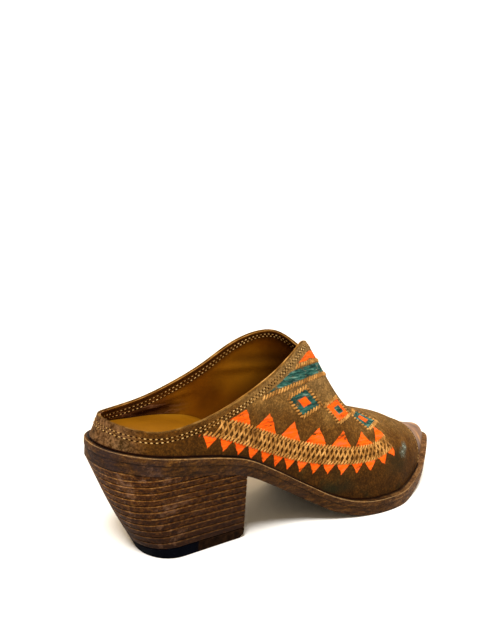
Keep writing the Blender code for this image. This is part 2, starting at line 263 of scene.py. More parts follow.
def along_border(flat):
    """How far along the border a chart point is, and how far above its middle line."""
    steps = np.diff(BORDER, axis=0)
    ways = steps / np.hypot(*steps.T)[:, None]
    result = np.empty((len(flat), 2))
    for start in range(0, len(flat), CHUNK):
        part = np.asarray(flat)[start:start + CHUNK]
        gaps = np.hypot(part[:, None, 0] - BORDER[None, :-1, 0], part[:, None, 1] - BORDER[None, :-1, 1])
        nearest = gaps.argmin(axis=1)
        offset = part - BORDER[nearest]
        way = ways[nearest]
        result[start:start + CHUNK, 0] = BORDER_LENGTHS[nearest] + (offset * way).sum(axis=1)
        result[start:start + CHUNK, 1] = way[:, 0] * offset[:, 1] - way[:, 1] * offset[:, 0]
    return result


def from_border(local):
    """Back from the border's own axes to the chart."""
    local = np.asarray(local, float)

    def middle_line(along):
        return np.stack([np.interp(along, BORDER_LENGTHS, BORDER[:, axis]) for axis in (0, 1)], axis=1)

    step = middle_line(local[:, 0] + 1) - middle_line(local[:, 0] - 1)
    way = step / np.hypot(*step.T)[:, None]
    return middle_line(local[:, 0]) + local[:, 1:] * np.stack([-way[:, 1], way[:, 0]], axis=1)


print("border length in mm", round(float(BORDER_LENGTHS[-1]), 1))

# %% [markdown]
# ## Paint
# The colours are acrylic leather paint, brushed on by hand: an orange and a teal, thin
# enough to show each stroke, with a dry, ragged edge where the nap stays bare.  Each shape
# is worked out from the piece's own pattern coordinates, so it stays sharp at any size.

# %% Paint masks
PAINT_EDGE = 0.35         # how soft a painted edge is, in mm


def between(tree, value, low, high, soft=PAINT_EDGE):
    """1 where a value lies between two limits, 0 outside."""
    apart = add(tree, "Math", add(tree, "Math", value, (low + high) / 2, operation="SUBTRACT"),
                operation="ABSOLUTE")
    half = (high - low) / 2
    return add(tree, "MapRange", apart, half + soft, half - soft)


def repeat(tree, value, start, pitch):
    """The distance from the middle of the repeat that a value falls in."""
    turns = add(tree, "Math", add(tree, "Math", value, start, operation="SUBTRACT"), pitch,
                operation="FLOORED_MODULO")
    return add(tree, "Math", add(tree, "Math", turns, pitch / 2, operation="SUBTRACT"),
               operation="ABSOLUTE")


def diamond(tree, along, across, half):
    """1 inside a diamond of these half sizes."""
    share = add(tree, "Math", add(tree, "Math", along, half[0], operation="DIVIDE"),
                add(tree, "Math", across, half[1], operation="DIVIDE"), operation="ADD")
    soft = PAINT_EDGE / min(half)
    return add(tree, "MapRange", share, 1 + soft, 1 - soft)


def teeth(tree, along, above, start, pitch, base, height):
    """1 inside a row of triangles that stand on a line."""
    near = repeat(tree, along, start, pitch)
    ridge = add(tree, "Math", near, -2 * height / base, height, operation="MULTIPLY_ADD")
    inside = add(tree, "MapRange", add(tree, "Math", ridge, above, operation="SUBTRACT"), -PAINT_EDGE,
                 PAINT_EDGE)
    return add(tree, "Math", inside, add(tree, "MapRange", above, -PAINT_EDGE, PAINT_EDGE),
               operation="MULTIPLY")


TEETH_START = 22.5
TALL_TEETH = (21.3, 18.0, 9.0)       # pitch, base and height of the triangles above the border
SMALL_TEETH = (10.6, 9.4, 5.6)       # and of those below it
BORDER_HALF = 4.6
BORDER_ENDS = (9.0, 166.0)
DIAMOND_HEART = 0.42                 # the inner diamond's share of the outer one's size
CREST_OVERLAP = 30.0                 # how far the chevrons run on past the crest


def painted_shapes(tree, place):
    """Masks of the triangles, the two chevrons and the two sizes of diamonds, and the middle one."""
    wobble = add(tree, "Math", clouds(tree, place, 5, 3, 0.6), 3.0, -1.5, operation="MULTIPLY_ADD")
    ragged = add(tree, "Math", clouds(tree, place, 0.9, 2, 0.7), 2.0, -1.0, operation="MULTIPLY_ADD")
    shake = add(tree, "Math", wobble, ragged, operation="ADD")
    row = stored(tree, "row")
    tip = stored(tree, "tip")
    edge = stored(tree, "border")

    across = add(tree, "Math", add(tree, "Math", row[1], operation="ABSOLUTE"),
                 add(tree, "Math", shake, 0.45, operation="MULTIPLY"), operation="ADD")
    near = repeat(tree, row[0], DIAMOND_FIRST, DIAMOND_PITCH)
    in_row = between(tree, row[0], DIAMOND_FIRST, DIAMOND_FIRST + DIAMONDS * DIAMOND_PITCH)
    outer = add(tree, "Math", diamond(tree, near, across, DIAMOND_HALF), in_row, operation="MULTIPLY")
    heart = [DIAMOND_HEART * side for side in DIAMOND_HALF]
    inner = add(tree, "Math", diamond(tree, near, across, heart), in_row, operation="MULTIPLY")
    middle_one = between(tree, row[0], DIAMOND_FIRST + DIAMOND_PITCH, DIAMOND_FIRST + 2 * DIAMOND_PITCH)

    slant = add(tree, "Math", tip[0], add(tree, "Math", shake, 0.5, operation="MULTIPLY"),
                operation="ADD")
    marks_and_shade = stored(tree, "marks_and_shade")
    clear = add(tree, "MapRange", marks_and_shade[0], RIM_CLEAR - PAINT_EDGE, RIM_CLEAR + PAINT_EDGE)
    reach = add(tree, "Math", between(tree, tip[1], -CREST_OVERLAP, CHEVRON_REACH), clear,
                operation="MULTIPLY")
    first = add(tree, "Math", between(tree, slant, *CHEVRONS[0]), reach, operation="MULTIPLY")
    second = add(tree, "Math", between(tree, slant, *CHEVRONS[1]), reach, operation="MULTIPLY")

    above = add(tree, "Math", add(tree, "Math", edge[1], BORDER_HALF, operation="SUBTRACT"),
                add(tree, "Math", shake, 0.6, operation="MULTIPLY"), operation="ADD")
    below = add(tree, "Math", add(tree, "Math", above, -1, operation="MULTIPLY"), 2 * BORDER_HALF,
                operation="SUBTRACT")
    along = add(tree, "Math", edge[0], wobble, operation="ADD")
    ends = add(tree, "Math", between(tree, edge[0], *BORDER_ENDS), clear, operation="MULTIPLY")
    tall = add(tree, "Math", teeth(tree, along, above, TEETH_START, *TALL_TEETH), ends,
               operation="MULTIPLY")
    small = add(tree, "Math", teeth(tree, along, below, 0, *SMALL_TEETH), ends, operation="MULTIPLY")
    return tall, small, first, second, outer, inner, middle_one


def paint(tree, place, ground):
    """Orange and teal shapes over a ground colour, and how thick the paint lies."""
    tall, small, first, second, outer, inner, middle_one = painted_shapes(tree, place)
    strokes = clouds(tree, place, 2.2, 4, 0.7, stretch=(0.16, 1.2, 1.2))
    orange = add(tree, "ValToRGB", strokes,
                 stops=((0.3, "#8e2a06"), (0.4, "#d24a0c"), (0.54, "#e05a0a"), (0.7, "#cf5a38")))
    teal = add(tree, "ValToRGB", strokes,
               stops=((0.3, "#0b1b1a"), (0.44, "#173834"), (0.58, "#2f5c54"), (0.74, "#7d9b90")))
    scratches = patches(tree, place, 0.62, 0.7, 1.5, 3, 0.6, stretch=(0.1, 1.4, 1.4))
    orange = tint(tree, orange, "#5e1f08", scratches, 0.6)
    teal = tint(tree, teal, "#aebfae", scratches, 0.3)
    worn = patches(tree, place, 0.35, 0.43, 3.4, 5, 0.75, stretch=(0.35, 1, 1))

    outer_tone = add(tree, "Mix", middle_one, teal, orange, data_type="RGBA")
    inner_tone = add(tree, "Mix", middle_one, orange, teal, data_type="RGBA")
    layers = ((tall, orange), (small, orange), (first, orange), (second, teal),
              (outer, outer_tone), (inner, inner_tone))
    colour = ground
    total = 0.0
    for mask, tone in layers:
        covered = add(tree, "Math", mask, worn, operation="MULTIPLY")
        colour = add(tree, "Mix", covered, colour, tone, data_type="RGBA")
        total = add(tree, "Math", covered, total, operation="MAXIMUM")
    return colour, total


print("painted:", DIAMONDS, "diamonds and", len(CHEVRONS), "chevrons on each side, and the border")

# %% [markdown]
# ## Oiled suede
# Suede is the split side of the hide, brushed to a nap: it is matt, and oil and wear make
# clouds of dark and golden brown a few centimetres across.  The nap gives fine speckles.
# Some marks belong to one spot of the shoe, so a helper fades in round a point in mm.

# %% Marks at a spot
VAMP_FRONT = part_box("toe_cap")[0].x
RAGGED = 5.0              # mm by which clouds fray the edge of such a mark


def near_point(tree, place, spot_mm, stretch, reach_mm, soft_mm):
    """1 close to a spot on the shoe, fading out; the stretch shortens it along an axis."""
    offset = add(tree, "VectorMath", place, [side * MM for side in spot_mm], operation="SUBTRACT")
    shaped = add(tree, "VectorMath", offset, stretch, operation="MULTIPLY")
    away = add(tree, "VectorMath", shaped, operation="LENGTH")
    rough = add(tree, "Math", clouds(tree, place, 3.0, 4, 0.75), RAGGED * MM,
                add(tree, "Math", away, RAGGED / 2 * MM, operation="SUBTRACT"), operation="MULTIPLY_ADD")
    return add(tree, "MapRange", rough, (reach_mm + soft_mm) * MM, reach_mm * MM)


def wandering(tree, value, cloud, amount):
    """A value that clouds push up and down by up to half this amount."""
    centred = add(tree, "Math", cloud, 0.5, operation="SUBTRACT")
    return add(tree, "Math", centred, amount, value, operation="MULTIPLY_ADD")


def toe_smear(tree, place, ground):
    """A dab of pale teal by the toe, with a dark green stain that fades down and back from it."""
    stain = add(tree, "Math", near_point(tree, place, (62, -35, 29), (0.6, 1, 1.1), 4, 8),
                near_point(tree, place, (6, -31, 20), (0.4, 1, 2.0), 3, 7), operation="MAXIMUM")
    tone = tint(tree, ground, "#161a0e", stain, 0.55)
    dab = add(tree, "Math", near_point(tree, place, (75.5, -30.5, 35.0), (0.8, 1, 1.0), 1.0, 3.2),
              add(tree, "Math", near_point(tree, place, (70.5, -32.5, 32.5), (0.8, 1, 1.0), 1.0, 3.6),
                  0.7, operation="MULTIPLY"), operation="MAXIMUM")
    pale = add(tree, "ValToRGB", clouds(tree, place, 1.6, 4, 0.8),
               stops=((0.38, "#1b211a"), (0.5, "#47544b"), (0.64, "#9ea79b")))
    return tint(tree, tone, pale, dab, 0.9)


# %% Suede
def suede(name):
    """Oiled suede: golden towards the top and dark and greenish near the sole, partly its own wear and
    partly painted light from above, with paint on it.
    """
    material, tree, shader = new_material(name, Roughness=0.9, Specular_IOR_Level=0.05)
    place, parts = on_shoe(tree)
    marks_and_shade = stored(tree, "marks_and_shade")
    # painted light from above over the suede's own tones: lighter towards the top and the toe, darker
    # towards the sole
    tilt = add(tree, "Math", parts["X"], 0.26, parts["Z"], operation="MULTIPLY_ADD")
    wander = wandering(tree, tilt, clouds(tree, place, 15, 4, 0.65), 40 * MM)
    base = add(tree, "ValToRGB", add(tree, "MapRange", wander, 0.018, 0.086),
               stops=((0.0, "#462b0c"), (0.22, "#52330d"), (0.4, "#5f3b0f"), (0.56, "#774f1e"),
                      (0.72, "#8f6833"), (1.0, "#9f7b48")))
    blotch = add(tree, "ValToRGB", clouds(tree, place, 8, 5, 0.7),
                 stops=((0.32, "#5c5c5c"), (0.5, "#808080"), (0.68, "#a2a2a2")))
    base = add(tree, "Mix", 0.8, base, blotch, data_type="RGBA", blend_type="OVERLAY")
    green = add(tree, "Math", patches(tree, place, 0.5, 0.62, 14, 3),
                add(tree, "MapRange", tilt, 0.04, 0.026), operation="MULTIPLY")
    base = tint(tree, base, "#1f2412", green, 0.4)
    speckle = add(tree, "ValToRGB", clouds(tree, place, 1.3, 3, 0.85),
                  stops=((0.37, "#101010"), (0.5, "#7c7c7c"), (0.63, "#ececec")))
    nap = add(tree, "Mix", 0.5, base, speckle, data_type="RGBA", blend_type="OVERLAY")
    nap = toe_smear(tree, place, nap)
    # paler in patches at the back of the heel
    paler = add(tree, "Math", add(tree, "MapRange", parts["X"], -0.124, -0.136),
                 patches(tree, place, 0.4, 0.6, 2.6, 4, 0.8), operation="MULTIPLY")
    nap = tint(tree, nap, "#96704c", paler, 0.35)
    edge = add(tree, "MapRange", parts["X"], VAMP_FRONT - 1.5 * MM, VAMP_FRONT - 0.6 * MM)
    nap = tint(tree, nap, "#1d0e05", edge, 0.8)
    painted, thickness = paint(tree, place, nap)
    shadow = add(tree, "MapRange", marks_and_shade[1], 1.2, 0.4)
    shaded = add(tree, "Mix", shadow, painted, "#100703", data_type="RGBA")
    height = add(tree, "Math", thickness, 0.7, clouds(tree, place, 0.9, 4, 0.75),
                 operation="MULTIPLY_ADD")
    finish(tree, shader, shaded, height, 0.25)
    return material


SUEDE = suede("oiled_suede")
print(SUEDE.name, "with", len(SUEDE.node_tree.nodes), "nodes")

# %% [markdown]
# ## Smooth leathers
# The lining, the insole, the toe cap and the cut and folded edges show the grain side of the
# hide: clouds of three tones over a fine pebble.  The lining gets painted shade deep inside,
# in its folds, low at the rear, in the front and next to the welt, and a dark line runs along
# below its rim.  The toe cap gets painted shade where it turns down and a painted highlight.

# %% Smooth leathers
LINING_CLOUDS = (34, 4, 0.55)     # size in mm, detail, roughness


def toe_cap_shade_and_highlight(tree, place, ground):
    """Painted shade where the cap turns down at its sides and front, and a painted golden highlight on a
    corner.
    """
    # painted shade where the cap turns down, darker the less it faces up
    facing = facing_up(tree)
    uneven = add(tree, "Math", clouds(tree, place, 5, 4), 0.4, facing, operation="MULTIPLY_ADD")
    turned_down_shade = add(tree, "MapRange", uneven, 0.95, 0.55)
    tone = tint(tree, ground, "#3f2a20", turned_down_shade, 0.6)
    # painted golden highlight on a corner
    corner_highlight = near_point(tree, place, (118.5, -12.5, 29.5), (0.9, 0.5, 0.45), 0.6, 2.6)
    return tint(tree, tone, "#b57f3c", corner_highlight, 0.75)


def lining_marks_and_shade(tree, place, tone):
    """A lighter patch of the lining, painted shade in a fold, in its finest wrinkles with painted
    highlights, next to the welt, deep inside, low at the rear and in the front, a dark band and a dark
    line by its rim.
    """
    marks_and_shade = stored(tree, "marks_and_shade")
    # a lighter patch high on the inner wall
    patch = near_point(tree, place, (-26, 21, 86), (0.55, 0.2, 1.0), 4, 14)
    tone = tint(tree, tone, "#94600e", patch, 0.7)
    # painted shade in a fold high on the inner wall
    fold = near_point(tree, place, (-16, 20, 93), (0.28, 0.2, 1.6), 3, 7)
    tone = tint(tree, tone, "#2c1204", fold, 0.5)
    band = add(tree, "Math", clouds(tree, place, 3, 3), 3, marks_and_shade[0], operation="MULTIPLY_ADD")
    tone = tint(tree, tone, "#341a06", add(tree, "MapRange", band, 9.5, 6.5), 0.62)
    # painted shade and painted highlights along the finest wrinkles, low at the back
    wrinkle_place = near_point(tree, place, (-94, 26, 67), (0.36, 0.2, 1.5), 5, 6)
    wrinkle_shade_and_highlights = add(tree, "ValToRGB", clouds(tree, place, 2.6, 3, 0.6, stretch=(0.16, 0.5, 1.3)),
                   stops=((0.40, "#140703"), (0.52, "#30160a"), (0.60, "#6e4c36"), (0.68, "#2a1206")))
    tone = tint(tree, tone, wrinkle_shade_and_highlights, wrinkle_place, 0.75)
    # a dark line 1 to 1.9 mm below the rim
    tone = tint(tree, tone, "#1b0b02", between(tree, marks_and_shade[0], 1.0, 1.9, 0.3), 0.8)
    # painted shade next to the welt
    shade_at_welt = add(tree, "MapRange", marks_and_shade[1], 3.0, 2.0)
    tone = add(tree, "Mix", shade_at_welt, tone, "#0d0603", data_type="RGBA")
    # painted shade deep inside, far from the rim
    deep_inside_shade = wandering(tree, marks_and_shade[0], clouds(tree, place, *LINING_CLOUDS), 30)
    tone = tint(tree, tone, "#2c1204", add(tree, "MapRange", deep_inside_shade, 26, 40), 0.6)
    # painted shade low at the rear and in the front
    along = add(tree, "SeparateXYZ", place, out="X")
    rear = add(tree, "Math", add(tree, "MapRange", along, -0.060, -0.100),
               add(tree, "MapRange", marks_and_shade[0], 5, 9), operation="MULTIPLY")
    front_shade = add(tree, "MapRange", along, -0.022, 0.012)
    return tint(tree, tone, "#200a02", add(tree, "Math", rear, front_shade, operation="ADD"), 0.78)


def smooth_leather(name, tones, cloud_settings, grain_mm, grain_depth, marks_and_shade=None, **sockets):
    """Grain-side leather: clouds of three tones over a fine pebble, and its own painted shade and marks.
    """
    material, tree, shader = new_material(name, **sockets)
    place = on_shoe(tree)[0]
    tone = add(tree, "ValToRGB", clouds(tree, place, *cloud_settings),
               stops=tuple(zip((0.28, 0.5, 0.74), tones)))
    if marks_and_shade:
        tone = marks_and_shade(tree, place, tone)
    pebble = add(tree, "TexVoronoi", place, 1 / (grain_mm * MM), feature="SMOOTH_F1")
    finish(tree, shader, tone, pebble, grain_depth, 0.5)
    return material


LINING = smooth_leather("lining_leather", ("#542c03", "#6e3d04", "#8a5609"), LINING_CLOUDS, 1.1, 0.05,
                        marks_and_shade=lining_marks_and_shade, Roughness=0.55, Specular_IOR_Level=0.05)
INSOLE = smooth_leather("insole_leather", ("#633d04", "#744a05", "#875b0e"), LINING_CLOUDS, 1.3, 0.04,
                        Roughness=0.5, Specular_IOR_Level=0.06)
CAP = smooth_leather("cap_leather", ("#45291a", "#6d492d", "#96704a"), (8, 4, 0.55), 1.0, 0.05,
                     marks_and_shade=toe_cap_shade_and_highlight, Roughness=0.45, Specular_IOR_Level=0.12)
RAW_EDGE = smooth_leather("raw_leather_edge", ("#4a2e0e", "#80581f", "#b08548"), (9, 4, 0.55), 0.8, 0.08,
                          Roughness=0.7, Specular_IOR_Level=0.1)
FOLD = smooth_leather("folded_suede_edge", ("#35220c", "#553b18", "#80602f"), (6, 4, 0.55), 0.8, 0.12,
                      Roughness=0.85, Specular_IOR_Level=0.05)
print("smooth leathers:", [leather.name for leather in (LINING, INSOLE, CAP, RAW_EDGE, FOLD)])

# %% [markdown]
# ## Sole edges
# Welt and outsole are cut across the hide's fibres and dressed with ink and wax.  The fibres
# show as fine streaks along the edge, and the dressing scuffs off at the upper corner, at
# the toe and behind the heel.  The upper corner is pale partly as a painted highlight, and
# painted shade darkens the underside and the strip next to the upper.

# %% Sole edges
def sole_edge(name, dark, middle, light, worn):
    """A cut and inked leather edge with fibres along it, pale where its upper corner is rubbed and
    painted with a highlight, with painted shade underneath and next to the upper.
    """
    material, tree, shader = new_material(name, Roughness=0.65, Specular_IOR_Level=0.06)
    place, parts = on_shoe(tree)
    fibres = clouds(tree, place, 4, 5, 0.8, stretch=(0.5, 0.5, 2.4))
    tone = add(tree, "ValToRGB", fibres, stops=((0.34, dark), (0.5, middle), (0.66, light)))
    flecks = patches(tree, place, 0.57, 0.68, 1.5, 3, 0.8)
    tone = tint(tree, tone, worn, flecks, 0.22)
    facing = facing_up(tree)
    marks_and_shade = stored(tree, "marks_and_shade")
    # pale upper corner, where the edge faces partly up: partly rubbed, partly a painted highlight
    patchy = wandering(tree, facing, clouds(tree, place, 4, 4, 0.7), 0.9)
    rubbed_corner_and_highlight = add(tree, "Math", add(tree, "MapRange", patchy, 0.35, 0.6),
              add(tree, "MapRange", facing, 0.97, 0.86), operation="MULTIPLY")
    rubbed_corner_and_highlight = add(tree, "Math", rubbed_corner_and_highlight, add(tree, "MapRange", parts["X"], 0.125, 0.02), operation="MULTIPLY")
    paler = add(tree, "ValToRGB", fibres,
                 stops=((0.36, "#4a2e18"), (0.52, "#775332"), (0.66, "#a07c55")))
    tone = tint(tree, tone, paler, add(tree, "MapRange", parts["X"], 0.040, 0.105), 0.75)
    tone = add(tree, "Mix", rubbed_corner_and_highlight, tone, worn, data_type="RGBA")
    grain = add(tree, "ValToRGB", clouds(tree, place, 1.4, 3, 0.85),
                stops=((0.38, "#202020"), (0.5, "#7c7c7c"), (0.62, "#e0e0e0")))
    tone = add(tree, "Mix", 0.5, tone, grain, data_type="RGBA", blend_type="OVERLAY")
    # painted shade underneath, where the edge faces down
    tone = tint(tree, tone, "#0a0502", add(tree, "MapRange", facing, -0.05, -0.7), 0.75)
    stained = add(tree, "Math", add(tree, "MapRange", parts["X"], -0.05, -0.11), 0.5, 0.12,
                  operation="MULTIPLY_ADD")
    tone = tint(tree, tone, "#1f181b", patches(tree, place, 0.46, 0.62, 16, 4, 0.7), stained)
    scuffed = add(tree, "Math", add(tree, "MapRange", parts["X"], -0.10, -0.138), 0.5, 0.12,
                  operation="MULTIPLY_ADD")
    tone = tint(tree, tone, "#6b5040", patches(tree, place, 0.56, 0.68, 10, 6, 0.78), scuffed)
    # painted shade next to the upper
    shade_at_upper = add(tree, "MapRange", marks_and_shade[0], 1.5, 0.6)
    shaded = add(tree, "Mix", shade_at_upper, tone, "#0d0603", data_type="RGBA")
    finish(tree, shader, shaded, fibres, 0.4)
    return material


WELT = sole_edge("welt_leather", "#1a0c02", "#3d240b", "#664319", "#94754c")
SOLE = sole_edge("sole_leather", "#160b03", "#341e08", "#523411", "#6b4d29")
print("sole edges:", WELT.name, SOLE.name)

# %% [markdown]
# ## Thread
# Linen thread is waxed, so it has a dull sheen, and handling makes it grubby in places.  A
# needle hole is only a dark dip in the leather, as its inside gets no light.

# %% Thread and needle holes
NEEDLE_HOLE, tree, shader = new_material("needle_hole_shadow", Roughness=0.95, Specular_IOR_Level=0.0)
hole_tone = add(tree, "ValToRGB", clouds(tree, on_shoe(tree)[0], 3),
                stops=((0.3, "#070301"), (0.7, "#140a04")))
tree.links.new(hole_tone, shader.inputs["Base Color"])


def thread(name, dark, middle, light):
    """Waxed linen thread: two twisted plies, grubby in places."""
    material, tree, shader = new_material(name, Roughness=0.6, Specular_IOR_Level=0.1)
    place = on_shoe(tree)[0]
    tone = add(tree, "ValToRGB", clouds(tree, place, 7, 4, 0.7),
               stops=((0.32, dark), (0.48, middle), (0.66, light)))
    finish(tree, shader, tone, clouds(tree, place, 0.5, 3, 0.8), 0.12)
    return material


STITCH = thread("cream_thread", "#5c3f1a", "#91703c", "#c4a46c")
CORD = thread("tan_cord", "#5a3810", "#8c6028", "#bd8c4c")
print("threads:", STITCH.name, CORD.name)

# %% [markdown]
# ## The heel's leather
# The heel is a stack of leather lifts, glued, trimmed and waxed as one block.  Each glue line
# is a pale ridge, lighter still as a painted highlight, with painted shade in the groove under
# it, so the colour follows the height above the ground.  Painted shade also darkens the heel
# towards the ground and the front.  The lifts' own sizes come from the frame.

# %% Stacked leather
lift_low, lift_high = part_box("heel_lift_01")
LIFT_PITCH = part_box("heel_lift_02")[0].z - lift_low.z
RIDGE_SHARE = 0.22        # of a lift's height
GROOVE_SHARE = 0.18
LINE_WANDER = 0.6 * MM    # how far a glue line strays from level


def stacked_leather(name):
    """Waxed lifts, a pale ridge with a painted highlight along the top of each one, and painted shade in
    the groove under it, towards the ground and towards the front.
    """
    material, tree, shader = new_material(name, Roughness=0.65, Specular_IOR_Level=0.05)
    place, parts = on_shoe(tree)
    wobble = add(tree, "Math", clouds(tree, place, 22, 2), LINE_WANDER, parts["Z"],
                 operation="MULTIPLY_ADD")
    turns = add(tree, "Math", wobble, lift_high.z + LINE_WANDER / 2, operation="SUBTRACT")
    share = add(tree, "Math", add(tree, "Math", turns, LIFT_PITCH, operation="FLOORED_MODULO"),
                LIFT_PITCH, operation="DIVIDE")
    # share is 0 just above a lift's top edge and 1 just below it
    # the pale ridge under each glue line, lighter still as a painted highlight
    ridge = add(tree, "MapRange", share, 1 - RIDGE_SHARE, 1 - RIDGE_SHARE * 0.6)
    faded = patches(tree, place, 0.36, 0.54, 9, 4, 0.7)
    ridge = add(tree, "Math", ridge, add(tree, "Math", faded, 0.75, 0.25, operation="MULTIPLY_ADD"),
                operation="MULTIPLY")
    fibres = clouds(tree, place, 1.7, 4, 0.85, stretch=(0.8, 0.8, 1.0))
    body = add(tree, "ValToRGB", fibres,
               stops=((0.34, "#0f0400"), (0.46, "#281202"), (0.57, "#452606"), (0.7, "#6b481d")))
    pale = add(tree, "ValToRGB", clouds(tree, place, 1.8, 4, 0.8),
               stops=((0.34, "#452306"), (0.5, "#70481b"), (0.66, "#9e7443")))
    # painted shade in the groove under each ridge
    groove_shade = add(tree, "MapRange", share, GROOVE_SHARE, 0.5 * GROOVE_SHARE)
    body = tint(tree, body, "#0d0501", groove_shade, 0.7)
    tone = add(tree, "Mix", ridge, body, pale, data_type="RGBA")
    # painted shade, darker towards the ground and towards the front
    forwards = add(tree, "Math", parts["X"], -0.5, parts["Z"], operation="MULTIPLY_ADD")
    low = add(tree, "Math", add(tree, "MapRange", parts["Z"], 0.040, 0.008),
              add(tree, "MapRange", forwards, 0.055, 0.032), operation="MAXIMUM")
    shaded_low = tint(tree, tone, "#160905", low, 0.75)
    rear = add(tree, "Math", add(tree, "MapRange", parts["X"], -0.085, -0.125), 0.70, 0.03,
               operation="MULTIPLY_ADD")
    scuffed = tint(tree, shaded_low, "#7d5e49", patches(tree, place, 0.54, 0.68, 9, 6, 0.78), rear)
    height = add(tree, "Math", ridge, 0.6, fibres, operation="MULTIPLY_ADD")
    finish(tree, shader, scuffed, height, 0.4)
    return material


HEEL = stacked_leather("stacked_leather")
print("lift pitch in mm", round(LIFT_PITCH / MM, 2))

# %% [markdown]
# The lowest lift is half rubber, to take the blow of each step, and half leather.  Both are
# one piece here, and a sharp step in the colour marks where they meet.

# %% Top lift
RUBBER_SHARE = 0.47       # of the top lift's length is rubber; the front of it is leather
JOINT_HALF = 0.1 * MM
rubber_low, rubber_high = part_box("top_lift")
joint = rubber_low.x + RUBBER_SHARE * (rubber_high.x - rubber_low.x)
RUBBER, tree, shader = new_material("heel_rubber", Roughness=0.7, Specular_IOR_Level=0.01)
place, parts = on_shoe(tree)
rubber_tone = add(tree, "ValToRGB", clouds(tree, place, 8, 4),
                  stops=((0.3, "#010206"), (0.7, "#03040a")))
leather_tone = add(tree, "ValToRGB", clouds(tree, place, 3, 5, 0.75),
                   stops=((0.34, "#090402"), (0.5, "#160b05"), (0.68, "#2a1a0d")))
in_front = add(tree, "MapRange", parts["X"], joint - JOINT_HALF, joint + JOINT_HALF)
lift_tone = add(tree, "Mix", in_front, rubber_tone, leather_tone, data_type="RGBA")
finish(tree, shader, lift_tone, clouds(tree, place, 2, 4, 0.7), 0.2, 0.5)
print("rubber and leather meet at", round(joint / MM, 1), "mm")

# %% [markdown]
# ## Working on a copy of a solid
# A solid of the frame is loose triangles.  A copy is welded and its triangles are joined to
# quads again, and then the usual tools work on it: linked flat faces can be selected,
# subdivided smoothly or bevelled.

# %% Copy and edit helpers
WELD = 1e-6


def work_on(piece):
    """Select one piece alone and make it active."""
    bpy.ops.object.select_all(action="DESELECT")
    piece.select_set(True)
    bpy.context.view_layer.objects.active = piece


def apply(piece, kind, **settings):
    """Add a modifier with its settings and apply it."""
    work_on(piece)
    modifier = piece.modifiers.new(kind.lower(), kind)
    for name, value in settings.items():
        setattr(modifier, name, value)
    bpy.ops.object.modifier_apply(modifier=modifier.name)


def new_piece(name, data):
    """An object in the scene with this mesh or curve."""
    piece = bpy.data.objects.new(name, data)
    bpy.context.scene.collection.objects.link(piece)
    return piece


def read_points(piece):
    """A mesh's points as an array."""
    values = np.empty(len(piece.data.vertices) * 3)
    piece.data.vertices.foreach_get("co", values)
    return values.reshape(-1, 3)


def read_normals(piece):
    """The surface's direction at each of a mesh's points."""
    values = np.empty(len(piece.data.vertices) * 3)
    piece.data.vertices.foreach_get("normal", values)
    return values.reshape(-1, 3)


def write_points(piece, points):
    """Move a mesh's points to new places."""
    piece.data.vertices.foreach_set("co", points.ravel())
    piece.data.update()


def copy_node(node, name):
    """A welded copy of a solid, in quads where they were quads."""
    piece = new_piece(name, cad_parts[node].data.copy())
    piece.data.materials.clear()
    work_on(piece)
    bpy.ops.mesh.customdata_custom_splitnormals_clear()
    bpy.ops.object.mode_set(mode="EDIT")
    bpy.ops.mesh.select_all(action="SELECT")
    bpy.ops.mesh.remove_doubles(threshold=WELD)
    bpy.ops.mesh.tris_convert_to_quads(
        face_threshold=math.radians(50), shape_threshold=math.radians(120), topology_influence=2)
    bpy.ops.mesh.mark_sharp(clear=True)
    bpy.ops.object.mode_set(mode="OBJECT")
    return piece


def crease_edges(piece, degrees):
    """Keep the edges sharper than this when the piece is subdivided."""
    creases = piece.data.attributes.get("crease_edge")
    creases = creases or piece.data.attributes.new("crease_edge", "FLOAT", "EDGE")
    bm = bmesh.new()
    bm.from_mesh(piece.data)
    limit = math.radians(degrees)
    sharp = [len(edge.link_faces) < 2 or edge.calc_face_angle() > limit for edge in bm.edges]
    bm.free()
    creases.data.foreach_set("value", np.array(sharp, np.float32))


def dress(piece, nodes, slot, *materials):
    """Give a finished piece its materials and hang it under the root body; the slot is not used."""
    for material in materials:
        piece.data.materials.append(material)
    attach(piece, "root")
    if nodes:
        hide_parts(*nodes)
    print(piece.name, len(piece.data.polygons), "faces")
    return piece


def smooth(piece, degrees=35):
    """Smooth shading, except over edges sharper than this."""
    work_on(piece)
    bpy.ops.object.shade_smooth_by_angle(angle=math.radians(degrees))


print("solids of the frame:", len(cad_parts))

# %% [markdown]
# ## The upper: suede outside, lining inside
# A mule's upper is two leathers, the suede and its lining, glued and stitched along the
# collar.  The frame has both as one wall.  On a copy of it, the outer face is picked with
# "linked flat faces", which stops at the sharp rim; the same is done for the inner face.
# Each skin is subdivided smoothly and then gets its own thickness.

# %% The two skins
SUEDE_THICK = 1.1 * MM
LINING_THICK = 0.6 * MM
BALL_X = 52 * MM          # where both skins are picked: at the ball of the foot, on the outer side
OUTER_START = Vector((BALL_X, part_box("upper")[0].y - 10 * MM, 30 * MM))
INNER_START = Vector((BALL_X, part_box("upper")[0].y + 4 * MM, 26 * MM))


